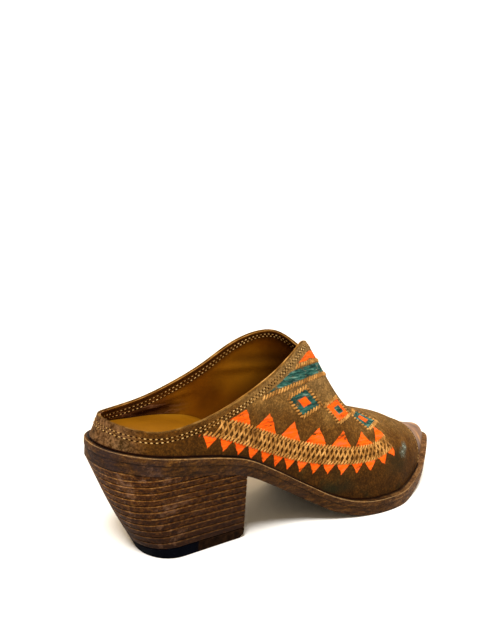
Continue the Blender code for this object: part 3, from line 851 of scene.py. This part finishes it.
def skin_of(node, name, start, levels):
    """The smooth skin of a solid that holds the face nearest to a point."""
    piece = copy_node(node, name)
    centres = np.array([face.center for face in piece.data.polygons])
    nearest = int(np.linalg.norm(centres - np.array(start), axis=1).argmin())
    piece.data.polygons.active = nearest
    bpy.ops.object.mode_set(mode="EDIT")
    bpy.ops.mesh.select_mode(type="FACE")
    bpy.ops.mesh.select_all(action="DESELECT")
    bpy.ops.object.mode_set(mode="OBJECT")
    piece.data.polygons[nearest].select = True
    bpy.ops.object.mode_set(mode="EDIT")
    bpy.ops.mesh.faces_select_linked_flat(sharpness=math.radians(50))
    bpy.ops.mesh.select_all(action="INVERT")
    bpy.ops.mesh.delete(type="FACE")
    bpy.ops.object.mode_set(mode="OBJECT")
    apply(piece, "SUBSURF", levels=levels, render_levels=levels)
    return piece


suede_upper = skin_of("upper", "suede_upper", OUTER_START, 3)
lining = skin_of("upper", "lining", INNER_START, 2)
print("suede skin", len(suede_upper.data.polygons), "lining skin", len(lining.data.polygons))

# %% [markdown]
# ## Creases
# Leather that bends with the foot keeps soft troughs, and between them the skin is pushed up
# into ridges.  Each one is listed: its two ends, its middle, its width and its depth.
# The skin moves along its own normals by a bell-shaped curve, which is how a fold fades out.

# %% Creases
FOLD_STEPS = 24           # along a fold's middle line


def crease(piece, folds):
    """Push the skin along its normals, down in a trough (below 0) and up in a ridge."""
    points = read_points(piece)
    depth = np.zeros(len(points))
    for start, middle, end, width, height in folds:
        shares = np.linspace(0, 1, FOLD_STEPS + 1)[:, None]
        line = ((1 - shares) ** 2 * np.array(start) + 2 * shares * (1 - shares) * np.array(middle)
                + shares ** 2 * np.array(end)) * MM
        gaps = np.linalg.norm(points[:, None] - line[None], axis=2)
        nearest = gaps.argmin(axis=1)
        fade = np.sin(np.pi * np.clip(nearest / FOLD_STEPS, 0.04, 0.96)) ** 0.7
        depth += height * MM * fade * np.exp(-(gaps.min(axis=1) / (width * MM)) ** 2)
    write_points(piece, points + read_normals(piece) * depth[:, None])
    print(piece.name, "creased by", round(float(np.abs(depth).max() / MM), 2), "mm at most")


VAMP_FOLDS = (
    # start, middle, end, width, height in mm; the outer side first, then the inner side
    ((70, -10, 52), (66, -26, 44), (56, -37, 26), 4.5, -0.8),
    ((78, -8, 50), (76, -22, 42), (68, -34, 26), 3.5, 0.45),
    ((84, -8, 48), (83, -20, 40), (78, -31, 27), 3.8, -0.6),
    ((58, -8, 55), (52, -24, 48), (42, -36, 30), 5.0, 0.4),
    ((20, -28, 48), (8, -31, 38), (-8, -28, 30), 7.0, -0.7),
    ((-40, -27, 60), (-20, -28, 50), (0, -30, 34), 8.0, -0.5),
    ((70, 12, 52), (66, 26, 44), (58, 37, 26), 4.5, -0.8),
    ((79, 10, 50), (77, 23, 42), (70, 34, 26), 3.5, 0.45),
    ((85, 10, 48), (84, 21, 40), (80, 30, 27), 3.8, -0.6),
    ((22, 28, 48), (8, 31, 38), (-8, 28, 30), 7.0, -0.7),
)
LINING_FOLDS = (
    ((-52, 22, 88), (-25, 24, 90), (2, 20, 88), 3.0, 1.3),
    ((-118, 23, 66), (-95, 27, 69), (-66, 27, 71), 1.6, 0.9),
    ((-112, 25, 63), (-88, 28, 65), (-58, 28, 66), 1.8, 0.9),
    ((-100, 26, 69), (-80, 27, 73), (-60, 26, 77), 2.0, 0.6),
    ((-86, 27, 62), (-66, 28, 62), (-46, 28, 60), 2.0, 0.7),
)
crease(suede_upper, VAMP_FOLDS)
crease(lining, LINING_FOLDS)

# %% [markdown]
# ## The collar's rim and the pattern coordinates
# The top edge of each skin is a loop of open edges, the border of the mesh.  Walking round
# it gives the line that the rim, the stitches and the paint start from.  The coordinates of
# the patterns are stored on the skin's points, where the paint reads them.

# %% Rim loops
def rim_loop(piece):
    """The points round a skin's highest open border, in order."""
    bm = bmesh.new()
    bm.from_mesh(piece.data)
    open_edges = {edge for edge in bm.edges if edge.is_boundary}
    loops = []
    while open_edges:
        edge = min(open_edges, key=lambda edge: edge.index)    # so each run starts at the same one
        open_edges.remove(edge)
        point = edge.verts[1]
        loop = [edge.verts[0].co.copy()]
        while edge:
            loop.append(point.co.copy())
            edge = next((other for other in point.link_edges if other in open_edges), None)
            if edge:
                open_edges.discard(edge)
                point = edge.other_vert(point)
        loops.append(np.array(loop))
    bm.free()
    return max(loops, key=lambda loop: loop[:, 2].mean())


outer_rim = rim_loop(suede_upper)
inner_rim = rim_loop(lining)
print("points round the rims:", len(outer_rim), len(inner_rim))

# %% Distances and pattern coordinates
def store(piece, name, values):
    """Keep up to three numbers on each point of a piece."""
    table = np.zeros((len(piece.data.vertices), 3))
    table[:, :values.shape[1]] = values
    piece.data.attributes.new(name, "FLOAT_VECTOR", "POINT").data.foreach_set("vector", table.ravel())


def surface_tree(piece):
    """The skin's surface for finding nearest points."""
    faces = [tuple(face.vertices) for face in piece.data.polygons]
    return BVHTree.FromPolygons([tuple(point) for point in read_points(piece)], faces)


def from_rim(points, rim):
    """Each point's distance from a rim loop, in mm."""
    tree = KDTree(len(rim))
    for number, point in enumerate(rim):
        tree.insert(point, number)
    tree.balance()
    return np.array([tree.find(point)[2] for point in points]) / MM


def from_surface(points, tree):
    """Each point's distance from a surface, in mm."""
    return np.array([tree.find_nearest(Vector(point))[3] for point in points]) / MM


def store_rim_and_welt_distances(piece, rim):
    """Keep how far each point of a skin is from its rim and from the welt, in mm, which place the paint,
    the painted shade and the marks.
    """
    points = read_points(piece)
    store(piece, "marks_and_shade", np.stack([from_rim(points, rim), from_surface(points, welt_tree)], axis=1))


def thicken(piece, thickness):
    """Give a skin its thickness, on its inner side."""
    apply(piece, "SOLIDIFY", thickness=thickness, offset=-1, use_even_offset=True)
    smooth(piece, 50)


outer_tree = surface_tree(suede_upper)
inner_tree = surface_tree(lining)
welt_tree = surface_tree(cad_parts["welt"])
skin_points = read_points(suede_upper)
skin_faces = [tuple(face.vertices) for face in suede_upper.data.polygons]
thicken(suede_upper, SUEDE_THICK)
thicken(lining, LINING_THICK)
flat = chart(read_points(suede_upper))
store(suede_upper, "row", turned(flat, ROW_START, ROW_WAY))
along_tip, across_tip = turned(flat, TIP_START, TIP_WAY).T
store(suede_upper, "tip", np.stack([along_tip - CHEVRON_SLANT * across_tip, -across_tip], axis=1))
store(suede_upper, "border", along_border(flat))
store_rim_and_welt_distances(suede_upper, outer_rim)
store_rim_and_welt_distances(lining, inner_rim)
dress(suede_upper, ["upper"], "suede", SUEDE)
dress(lining, ["upper"], "lining_leather", LINING)

# %% [markdown]
# ## The rim
# The suede is folded over along the rim, which makes its edge round, and between it and the
# lining a thin cut edge shows, rubbed golden.  Both are thin round cords of leather along
# the rim, made as curves through the rim's points with a round bevel.

# %% Rim bead
RIM_RADIUS = 0.42 * MM
RIM_INSIDE = 1.45 * MM    # from the suede's outer face to the middle of the bead
RIM_SUNK = 0.35 * MM
RIM_SHOWS = 0.75 * MM     # how much higher it stands where the collar's far side shows it
FOLD_RADIUS = 0.62 * MM
FOLD_INSIDE = 0.55 * MM
FOLD_SUNK = 0.15 * MM


def equal_steps(path, spacing, closed=True):
    """Distances in equal steps along a path, and a function from distances to its points."""
    if closed and np.linalg.norm(path[0] - path[-1]) > 1e-6:
        path = np.vstack([path, path[:1]])
    lengths = np.concatenate([[0], np.cumsum(np.linalg.norm(np.diff(path, axis=0), axis=1))])
    count = max(2, round(lengths[-1] / spacing))
    places = (np.arange(count) + (0 if closed else 0.5)) * lengths[-1] / count
    period = lengths[-1] if closed else None

    def at(distances):
        columns = [np.interp(distances, lengths, column, period=period) for column in path.T]
        return np.stack(columns, axis=1)

    return places, at


def round_cord(name, path, radius, closed=True, sides=2):
    """A mesh tube along a path."""
    curve = bpy.data.curves.new(name, "CURVE")
    curve.dimensions = "3D"
    curve.bevel_depth = radius
    curve.bevel_resolution = sides
    spline = curve.splines.new("POLY")
    spline.points.add(len(path) - 1)
    spline.points.foreach_set("co", np.hstack([path, np.ones((len(path), 1))]).ravel())
    spline.use_cyclic_u = closed
    work_on(new_piece(name, curve))
    bpy.ops.object.convert(target="MESH")
    piece = bpy.context.object
    smooth(piece, 60)
    return piece


places, at = equal_steps(outer_rim, 1.0 * MM)
rim_line = at(places)
facing = np.array([outer_tree.find_nearest(point)[1] for point in rim_line])
outer_side = np.interp(rim_line[:, 1], (-0.012, 0.008), (1, 0))
ahead_of_heel = np.interp(rim_line[:, 0], (-0.095, -0.070), (0, 1))
rim_line = rim_line - facing * RIM_INSIDE
rim_line[:, 2] += RIM_SHOWS * outer_side * ahead_of_heel - RIM_SUNK
dress(round_cord("collar_rim", rim_line, RIM_RADIUS), [], "suede", RAW_EDGE)
fold_line = at(places) - facing * FOLD_INSIDE - np.array((0, 0, FOLD_SUNK))
dress(round_cord("suede_fold", fold_line, FOLD_RADIUS), [], "suede", FOLD)

# %% [markdown]
# ## Cap, insole, welt and outsole
# These are plates and strips of leather.  The corners of cut leather are never sharp: they
# are trimmed, rounded with a hot iron and waxed.  So each copy is subdivided with its sharp
# edges kept, which rounds the outline, and the kept edges are then bevelled.
#
# The frame's solids lie a few tenths of a millimetre apart.  Light would show through that
# air at the toe, where the real leathers are pressed together, so the outsole's top is
# raised and the cap's lower edge is lowered until they nearly meet the welt.

# %% Plates and strips
def leather_plate(node, name, rounding_mm, levels=2, degrees=40, segments=3):
    """A copy of a solid with a smooth outline and rounded edges."""
    piece = copy_node(node, name)
    crease_edges(piece, degrees)
    apply(piece, "SUBSURF", levels=levels, render_levels=levels)
    apply(piece, "BEVEL", width=rounding_mm * MM, segments=segments, limit_method="ANGLE",
          angle_limit=math.radians(degrees))
    smooth(piece)
    return piece


def lift_points(piece, chosen, distance):
    """Move the chosen points of a piece up, or down where the distance is below 0."""
    points = read_points(piece)
    points[chosen, 2] += distance
    write_points(piece, points)


SEAM_CLOSED = 0.28 * MM
CAP_FOOT = 0.9            # mm: a point of the cap's lower edge lies nearer the welt than this
LEVEL_ENOUGH = 0.55       # a face of the insole that is steeper shows its cut edge
FAR_FROM_UPPER = 9.0      # mm: no part of the outsole is darkened by the upper
toe_cap = dress(leather_plate("toe_cap", "smooth_toe_cap", 0.3), ["toe_cap"], "smooth_leather", CAP)
lift_points(toe_cap, from_surface(read_points(toe_cap), welt_tree) < CAP_FOOT, -SEAM_CLOSED)
insole = leather_plate("insole", "insole_leather_sock", 1.2)
dress(insole, ["insole"], "insole_leather", INSOLE, WELT)
steepness = np.array([face.normal.z for face in insole.data.polygons])
insole.data.polygons.foreach_set("material_index", (steepness < LEVEL_ENOUGH).astype(np.int32))
# at zero distance from the upper, the insole's cut edge is painted near-black as the shade in the gap
# round it
store(insole, "marks_and_shade", np.zeros((len(insole.data.vertices), 1)))
welt = dress(leather_plate("welt", "welt_strip", 0.6), ["welt"], "welt_leather", WELT)
# the welt's distance from the upper places the painted shade along it
store(welt, "marks_and_shade", from_surface(read_points(welt), outer_tree)[:, None])
outsole = dress(leather_plate("outsole", "leather_outsole", 0.3), ["outsole"], "sole_leather", SOLE)
lift_points(outsole, read_normals(outsole)[:, 2] > 0.5, SEAM_CLOSED)
store(outsole, "marks_and_shade", np.full((len(outsole.data.vertices), 1), FAR_FROM_UPPER))

# %% [markdown]
# ## The heel
# The lifts keep the shape of their solids.  Only the front edge of the lowest one is worn round.

# %% Heel lifts
CORNER_WORN = 6.0 * MM


def worn_corner(piece):
    """Round the front edge that the wearer scuffs on the ground."""
    bm = bmesh.new()
    bm.from_mesh(piece.data)
    middle = Vector((max(vertex.co.x for vertex in bm.verts) - CORNER_WORN, 0, CORNER_WORN))
    for degrees in (15, 35, 55, 75):
        outwards = Vector((math.sin(math.radians(degrees)), 0, -math.cos(math.radians(degrees))))
        cut = bmesh.ops.bisect_plane(
            bm, geom=[*bm.verts, *bm.edges, *bm.faces], plane_co=middle + CORNER_WORN * outwards,
            plane_no=outwards, clear_outer=True)["geom_cut"]
        bmesh.ops.edgeloop_fill(bm, edges=[part for part in cut if isinstance(part, bmesh.types.BMEdge)])
    bmesh.ops.recalc_face_normals(bm, faces=bm.faces)
    bm.to_mesh(piece.data)
    bm.free()


def heel_piece(node, name):
    """A copy of a heel's solid, without the edges that lie flat in its faces."""
    piece = copy_node(node, name)
    work_on(piece)
    bpy.ops.object.mode_set(mode="EDIT")
    bpy.ops.mesh.select_all(action="SELECT")
    bpy.ops.mesh.dissolve_limited(angle_limit=math.radians(1))
    bpy.ops.object.mode_set(mode="OBJECT")
    return piece


for node in sorted(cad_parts):
    if node.startswith("heel_"):
        piece = heel_piece(node, node + "_leather")
        smooth(piece, 30)
        dress(piece, [node], "stacked_leather", HEEL)
top_lift = heel_piece("top_lift", "rubber_top_lift")
worn_corner(top_lift)
smooth(top_lift, 30)
dress(top_lift, ["top_lift"], "rubber", RUBBER)

# %% [markdown]
# ## Stitches
# One stitch is a short capsule of thread, made once from a sphere whose halves are pulled
# apart.  A row is many copies of it, each bent to lie on the leather: through a point at
# either end and one in the middle.  All copies of a row are joined into one mesh.

# %% One stitch
bpy.ops.object.select_all(action="DESELECT")
bpy.ops.mesh.primitive_uv_sphere_add(segments=6, ring_count=6, radius=1, rotation=(0, math.pi / 2, 0))
bpy.ops.object.transform_apply(rotation=True)
pattern = bpy.context.object
STITCH_POINTS = read_points(pattern)
STITCH_FACES = sorted(tuple(face.vertices) for face in pattern.data.polygons)   # the same each run
bpy.data.objects.remove(pattern)
STITCH_HALF = np.sign(np.round(STITCH_POINTS[:, 0], 3))
print("a stitch has", len(STITCH_FACES), "faces")


def unit(vectors):
    """The same directions, each of length 1."""
    return vectors / np.linalg.norm(vectors, axis=1, keepdims=True)


def sew(name, starts, middles, ends, normals, radius, rise, sink=0.3):
    """One mesh of stitches, each from a start through a middle to an end.  Sizes in metres."""
    along = (ends - starts) / 2
    length = np.linalg.norm(along, axis=1, keepdims=True)
    tangent = along / length
    across = unit(np.cross(normals, tangent))
    share = STITCH_HALF[None, :, None]
    core = np.maximum(length - radius, 0)[:, None]
    bow = (starts + ends) / 2 - middles
    points = (middles[:, None] + tangent[:, None] * (share * core + STITCH_POINTS[None, :, :1] * radius)
              + bow[:, None] * share ** 2
              + across[:, None] * STITCH_POINTS[None, :, 1:2] * radius
              + normals[:, None] * (STITCH_POINTS[None, :, 2:] * radius
                                    + rise * (1 - share ** 2) - sink * radius))
    count = len(STITCH_POINTS)
    faces = [tuple(corner + copy * count for corner in face)
             for copy in range(len(middles)) for face in STITCH_FACES]
    mesh = bpy.data.meshes.new(name)
    mesh.from_pydata(points.reshape(-1, 3).tolist(), [], faces)
    piece = new_piece(name, mesh)
    smooth(piece, 70)
    return piece


def nearest_on(tree, points):
    """The nearest points on a skin, and its normals there."""
    found = [tree.find_nearest(Vector(point)) for point in points]
    return np.array([hit[0] for hit in found]), np.array([hit[1] for hit in found])


def sew_row(name, tree, at, places, half, radius, rise, sink=0.3):
    """Stitches on a skin, at these distances along a line, reaching half their length each way."""
    middles, normals = nearest_on(tree, at(places))
    starts = nearest_on(tree, at(places - half))[0]
    ends = nearest_on(tree, at(places + half))[0]
    return sew(name, starts, middles, ends, normals, radius, rise, sink)

# %% [markdown]
# ## Topstitching round the collar
# Two rows of cream thread hold the lining to the suede, 3 and 5 mm from the edge.  The
# needle leaves a dark hole at the end of each stitch, and the rows show inside as well.

# %% Collar stitches
SUEDE_ROWS = (3.2 * MM, 4.95 * MM)
LINING_ROWS = (3.0 * MM, 5.1 * MM)
ROWS_TAPER = ((-0.070, -0.005), (1.0, 0.68))    # the rows run closer to the edge in front
STITCH_PITCH = 2.7 * MM
STITCH_LENGTH = 1.3 * MM
STITCH_RADIUS = 0.33 * MM
STITCH_RISES = (0.15 * MM, 0.12 * MM)           # over the suede, over the lining
HOLE_HALF = 0.8 * MM                            # a hole is a flat capsule, sunk into the skin
HOLE_RADIUS = 0.52 * MM
HOLE_SUNK = 0.72
OFFSET_STEPS = 4


def offset_row(tree, rim, offset):
    """A line on a skin, this far from its rim."""
    places, at = equal_steps(rim, 1.5 * MM)
    line = at(places)
    tangents = unit(at(places + MM) - at(places - MM))
    inwards = unit(np.cross(tangents, nearest_on(tree, line)[1]))
    inwards *= -np.sign(inwards[:, 2:])
    share = np.interp(line[:, 0], *ROWS_TAPER)[:, None] / OFFSET_STEPS
    for _ in range(OFFSET_STEPS):
        line = nearest_on(tree, line + inwards * offset * share)[0]
    return line


def stitch_row(name, tree, rim, offset, rise):
    """Stitches and their needle holes along the collar."""
    places, at = equal_steps(offset_row(tree, rim, offset), STITCH_PITCH)
    thread_row = sew_row(name, tree, at, places, STITCH_LENGTH / 2, STITCH_RADIUS, rise)
    dress(thread_row, [], "thread", STITCH)
    hole_row = sew_row(name + "_holes", tree, at, places + STITCH_PITCH / 2, HOLE_HALF, HOLE_RADIUS, 0,
                       HOLE_SUNK)
    dress(hole_row, [], "suede", NEEDLE_HOLE)


for number in (0, 1):
    stitch_row(f"collar_stitches_{number + 1}", outer_tree, outer_rim, SUEDE_ROWS[number],
               STITCH_RISES[0])
    stitch_row(f"lining_stitches_{number + 1}", inner_tree, inner_rim, LINING_ROWS[number],
               STITCH_RISES[1])

# %% [markdown]
# ## The seam over the toe cap
# The vamp's front edge lies over the cap and is sewn down with one row of small stitches.
# Rays sent outwards from the middle of the toe find the skin just behind that edge.

# %% Seam stitches
SEAM_BACK = 2.6 * MM      # from the vamp's front edge
SEAM_PITCH = 2.4 * MM
SEAM_HALF = 0.8 * MM      # half of a stitch
SEAM_RADIUS = 0.3 * MM
SEAM_RISE = 0.1 * MM
SEAM_RAYS = np.radians(np.linspace(4, 176, 200))
toe_middle = Vector((skin_points[:, 0].max() - SEAM_BACK, CREST_Y * MM, 14 * MM))
hits = [outer_tree.ray_cast(toe_middle, Vector((0, math.cos(angle), math.sin(angle))))[0]
        for angle in SEAM_RAYS]
places, at = equal_steps(np.array([hit for hit in hits if hit is not None]), SEAM_PITCH, closed=False)
seam = sew_row("cap_seam_stitches", outer_tree, at, places, SEAM_HALF, SEAM_RADIUS, SEAM_RISE)
dress(seam, [], "thread", STITCH)

# %% [markdown]
# ## Embroidery
# Tan cord outlines the painted shapes.  It is laid on as twisted plies, each a slanted
# stitch, which gives a rope; the border is a herringbone of long crossed stitches between
# two such ropes.  A second copy of the skin, laid out flat on the chart, tells where a chart
# point lies on the shoe: the flat face under the point is found, and the point's place
# within it is carried over to the same face of the skin.

# %% From the chart to the skin
def charted_side(sign):
    """A function from a chart point to the skin of one side (-1 outer, 1 inner)."""
    flat_points = chart(skin_points)
    side = (skin_points[:, 1] / MM - CREST_Y) * sign > -0.6
    triangles = []
    for face in skin_faces:
        if all(side[v] for v in face):
            triangles += [(face[0], face[i], face[i + 1]) for i in range(1, len(face) - 1)]
    flat_tree = BVHTree.FromPolygons([(u, v, 0) for u, v in flat_points], triangles)

    def locate(spots):
        places = []
        normals = []
        for u, v in spots:
            spot, _, index, _ = flat_tree.find_nearest(Vector((u, v, 0)))
            corners = [skin_points[k] for k in triangles[index]]
            flat_corners = [Vector((*flat_points[k], 0)) for k in triangles[index]]
            place = barycentric_transform(spot, *flat_corners, *[Vector(corner) for corner in corners])
            places.append(place)
            normals.append(outer_tree.find_nearest(place)[1])
        return np.array(places), np.array(normals)

    return locate


PLY_PITCH = 2.45          # of the rope, in mm on the chart
PLY_LENGTH = 3.3
PLY_SLANT = math.radians(48)
PLY_RADIUS = 0.62 * MM
PLY_RISE = 0.3 * MM
DIAMOND_OUTSIDE = 1.1     # mm from a diamond's paint to its cord
ROPE_INSET = 0.6          # mm from the border's edge to its ropes
CROSS_PITCH = 1.9
CROSS_LEAN = 2.1


def rope_plies(path):
    """Starts, middles and ends of slanted plies along a chart path."""
    places, at = equal_steps(np.asarray(path, float), PLY_PITCH, closed=False)
    middles = at(places)
    ways = unit(at(places + 0.3) - at(places - 0.3))
    turn = np.array(((math.cos(PLY_SLANT), -math.sin(PLY_SLANT)),
                     (math.sin(PLY_SLANT), math.cos(PLY_SLANT))))
    halves = ways @ turn.T * PLY_LENGTH / 2
    return middles - halves, middles, middles + halves


def crossed_plies(first, last, half):
    """Long stitches that cross between two lines of the border."""
    places = np.arange(first, last, CROSS_PITCH)
    sides = half * np.where(np.arange(len(places)) % 2, 1, -1)
    starts = from_border(np.stack([places - CROSS_LEAN, -sides], axis=1))
    ends = from_border(np.stack([places + CROSS_LEAN, sides], axis=1))
    return starts, (starts + ends) / 2, ends


def diamond_corners(number, grow):
    """A diamond's outline on the chart, this many mm outside the paint."""
    centre = DIAMOND_FIRST + (number + 0.5) * DIAMOND_PITCH
    half = [side + grow for side in DIAMOND_HALF]
    local = [(centre - half[0], 0), (centre, half[1]), (centre + half[0], 0), (centre, -half[1]),
             (centre - half[0], 0)]
    return unturned(local, ROW_START, ROW_WAY)


def chevron_line(slant_place):
    """A chevron's line on the chart, from the crest down the side."""
    reach = np.linspace(0.5, CHEVRON_REACH, 12)
    return unturned(np.stack([slant_place - CHEVRON_SLANT * reach, -reach], axis=1), TIP_START, TIP_WAY)


cord_paths = [rope_plies(diamond_corners(number, DIAMOND_OUTSIDE)) for number in range(DIAMONDS)]
cord_paths += [rope_plies(chevron_line(place)) for place in CHEVRON_CORDS]
border_span = np.linspace(*BORDER_ENDS, 120)
for offset in (ROPE_INSET - BORDER_HALF, BORDER_HALF - ROPE_INSET):
    rope = np.stack([border_span, np.full(len(border_span), offset)], axis=1)
    cord_paths.append(rope_plies(from_border(rope)))
cord_paths.append(crossed_plies(BORDER_ENDS[0] + 2, BORDER_ENDS[1] - 2, BORDER_HALF - 1.0))

# %% [markdown]
# The same plan is laid on both sides of the shoe.  Plies that would come too near the rim are
# left out, so the collar's stitching stays clear.

# %% Embroidery on both sides
for side_name, sign in (("outer", -1), ("inner", 1)):
    locate = charted_side(sign)
    starts, middles, ends = (np.vstack([path[k] for path in cord_paths]) for k in range(3))
    starts = locate(starts)[0]
    ends = locate(ends)[0]
    middles, normals = locate(middles)
    clear = from_rim(middles, outer_rim) > RIM_CLEAR
    starts, middles, ends, normals = (part[clear] for part in (starts, middles, ends, normals))
    cord = sew("cord_embroidery_" + side_name, starts, middles, ends, normals, PLY_RADIUS, PLY_RISE,
               sink=0.1)
    dress(cord, [], "thread", CORD)

# %% [markdown]
# ## Studio
# Pale paper lies under the shoe and stands round it, far enough away to stay out of its
# light.  One large soft light, high behind the heel's outer side, makes the paper brighter
# than white, so no horizon shows, and shades the shoe from the top down.  The sky above the
# paper is much dimmer and warm, so its colour shows in the shadows.

# %% Paper and lights
PAPER_SIZE = 11.0
SURROUND_RADIUS = 5.0
SURROUND_HEIGHT = 2.4
LIGHT_FROM = Vector((-0.55, -0.42, 1.05))
LIGHT_SPREAD = math.radians(16)
LIGHT_STRENGTH = 5.4
SKY = "#ffe0b4"
SKY_STRENGTH = 1.0
paper, tree, shader = new_material("pale_paper", Roughness=0.95, Specular_IOR_Level=0.0)
grain = clouds(tree, on_shoe(tree)[0], 60, 2)
tree.links.new(add(tree, "ValToRGB", grain, stops=((0.3, "#dad9d6"), (0.7, "#dcdbd8"))),
               shader.inputs["Base Color"])
bpy.ops.object.select_all(action="DESELECT")
bpy.ops.mesh.primitive_plane_add(size=PAPER_SIZE)
bpy.context.object.name = "paper_floor"
bpy.context.object.data.materials.append(paper)
bpy.ops.object.select_all(action="DESELECT")
bpy.ops.mesh.primitive_cylinder_add(vertices=128, radius=SURROUND_RADIUS, depth=SURROUND_HEIGHT,
                                    end_fill_type="NOTHING", location=(0, 0, SURROUND_HEIGHT / 2))
bpy.context.object.name = "paper_surround"
bpy.context.object.data.materials.append(paper)
bpy.ops.object.shade_smooth()

bpy.ops.object.light_add(type="SUN", location=LIGHT_FROM)
soft_light = bpy.context.object
soft_light.name = "large_soft_light"
soft_light.rotation_euler = LIGHT_FROM.to_track_quat("Z", "Y").to_euler()
soft_light.data.angle = LIGHT_SPREAD
soft_light.data.energy = LIGHT_STRENGTH
world = bpy.data.worlds.new("surround")
bpy.context.scene.world = world
world.use_nodes = True
world.node_tree.nodes["Background"].inputs["Color"].default_value = hex_colour(SKY)
world.node_tree.nodes["Background"].inputs["Strength"].default_value = SKY_STRENGTH
bpy.context.scene.view_settings.view_transform = "Standard"
print("light from", [round(value, 2) for value in LIGHT_FROM.normalized()])
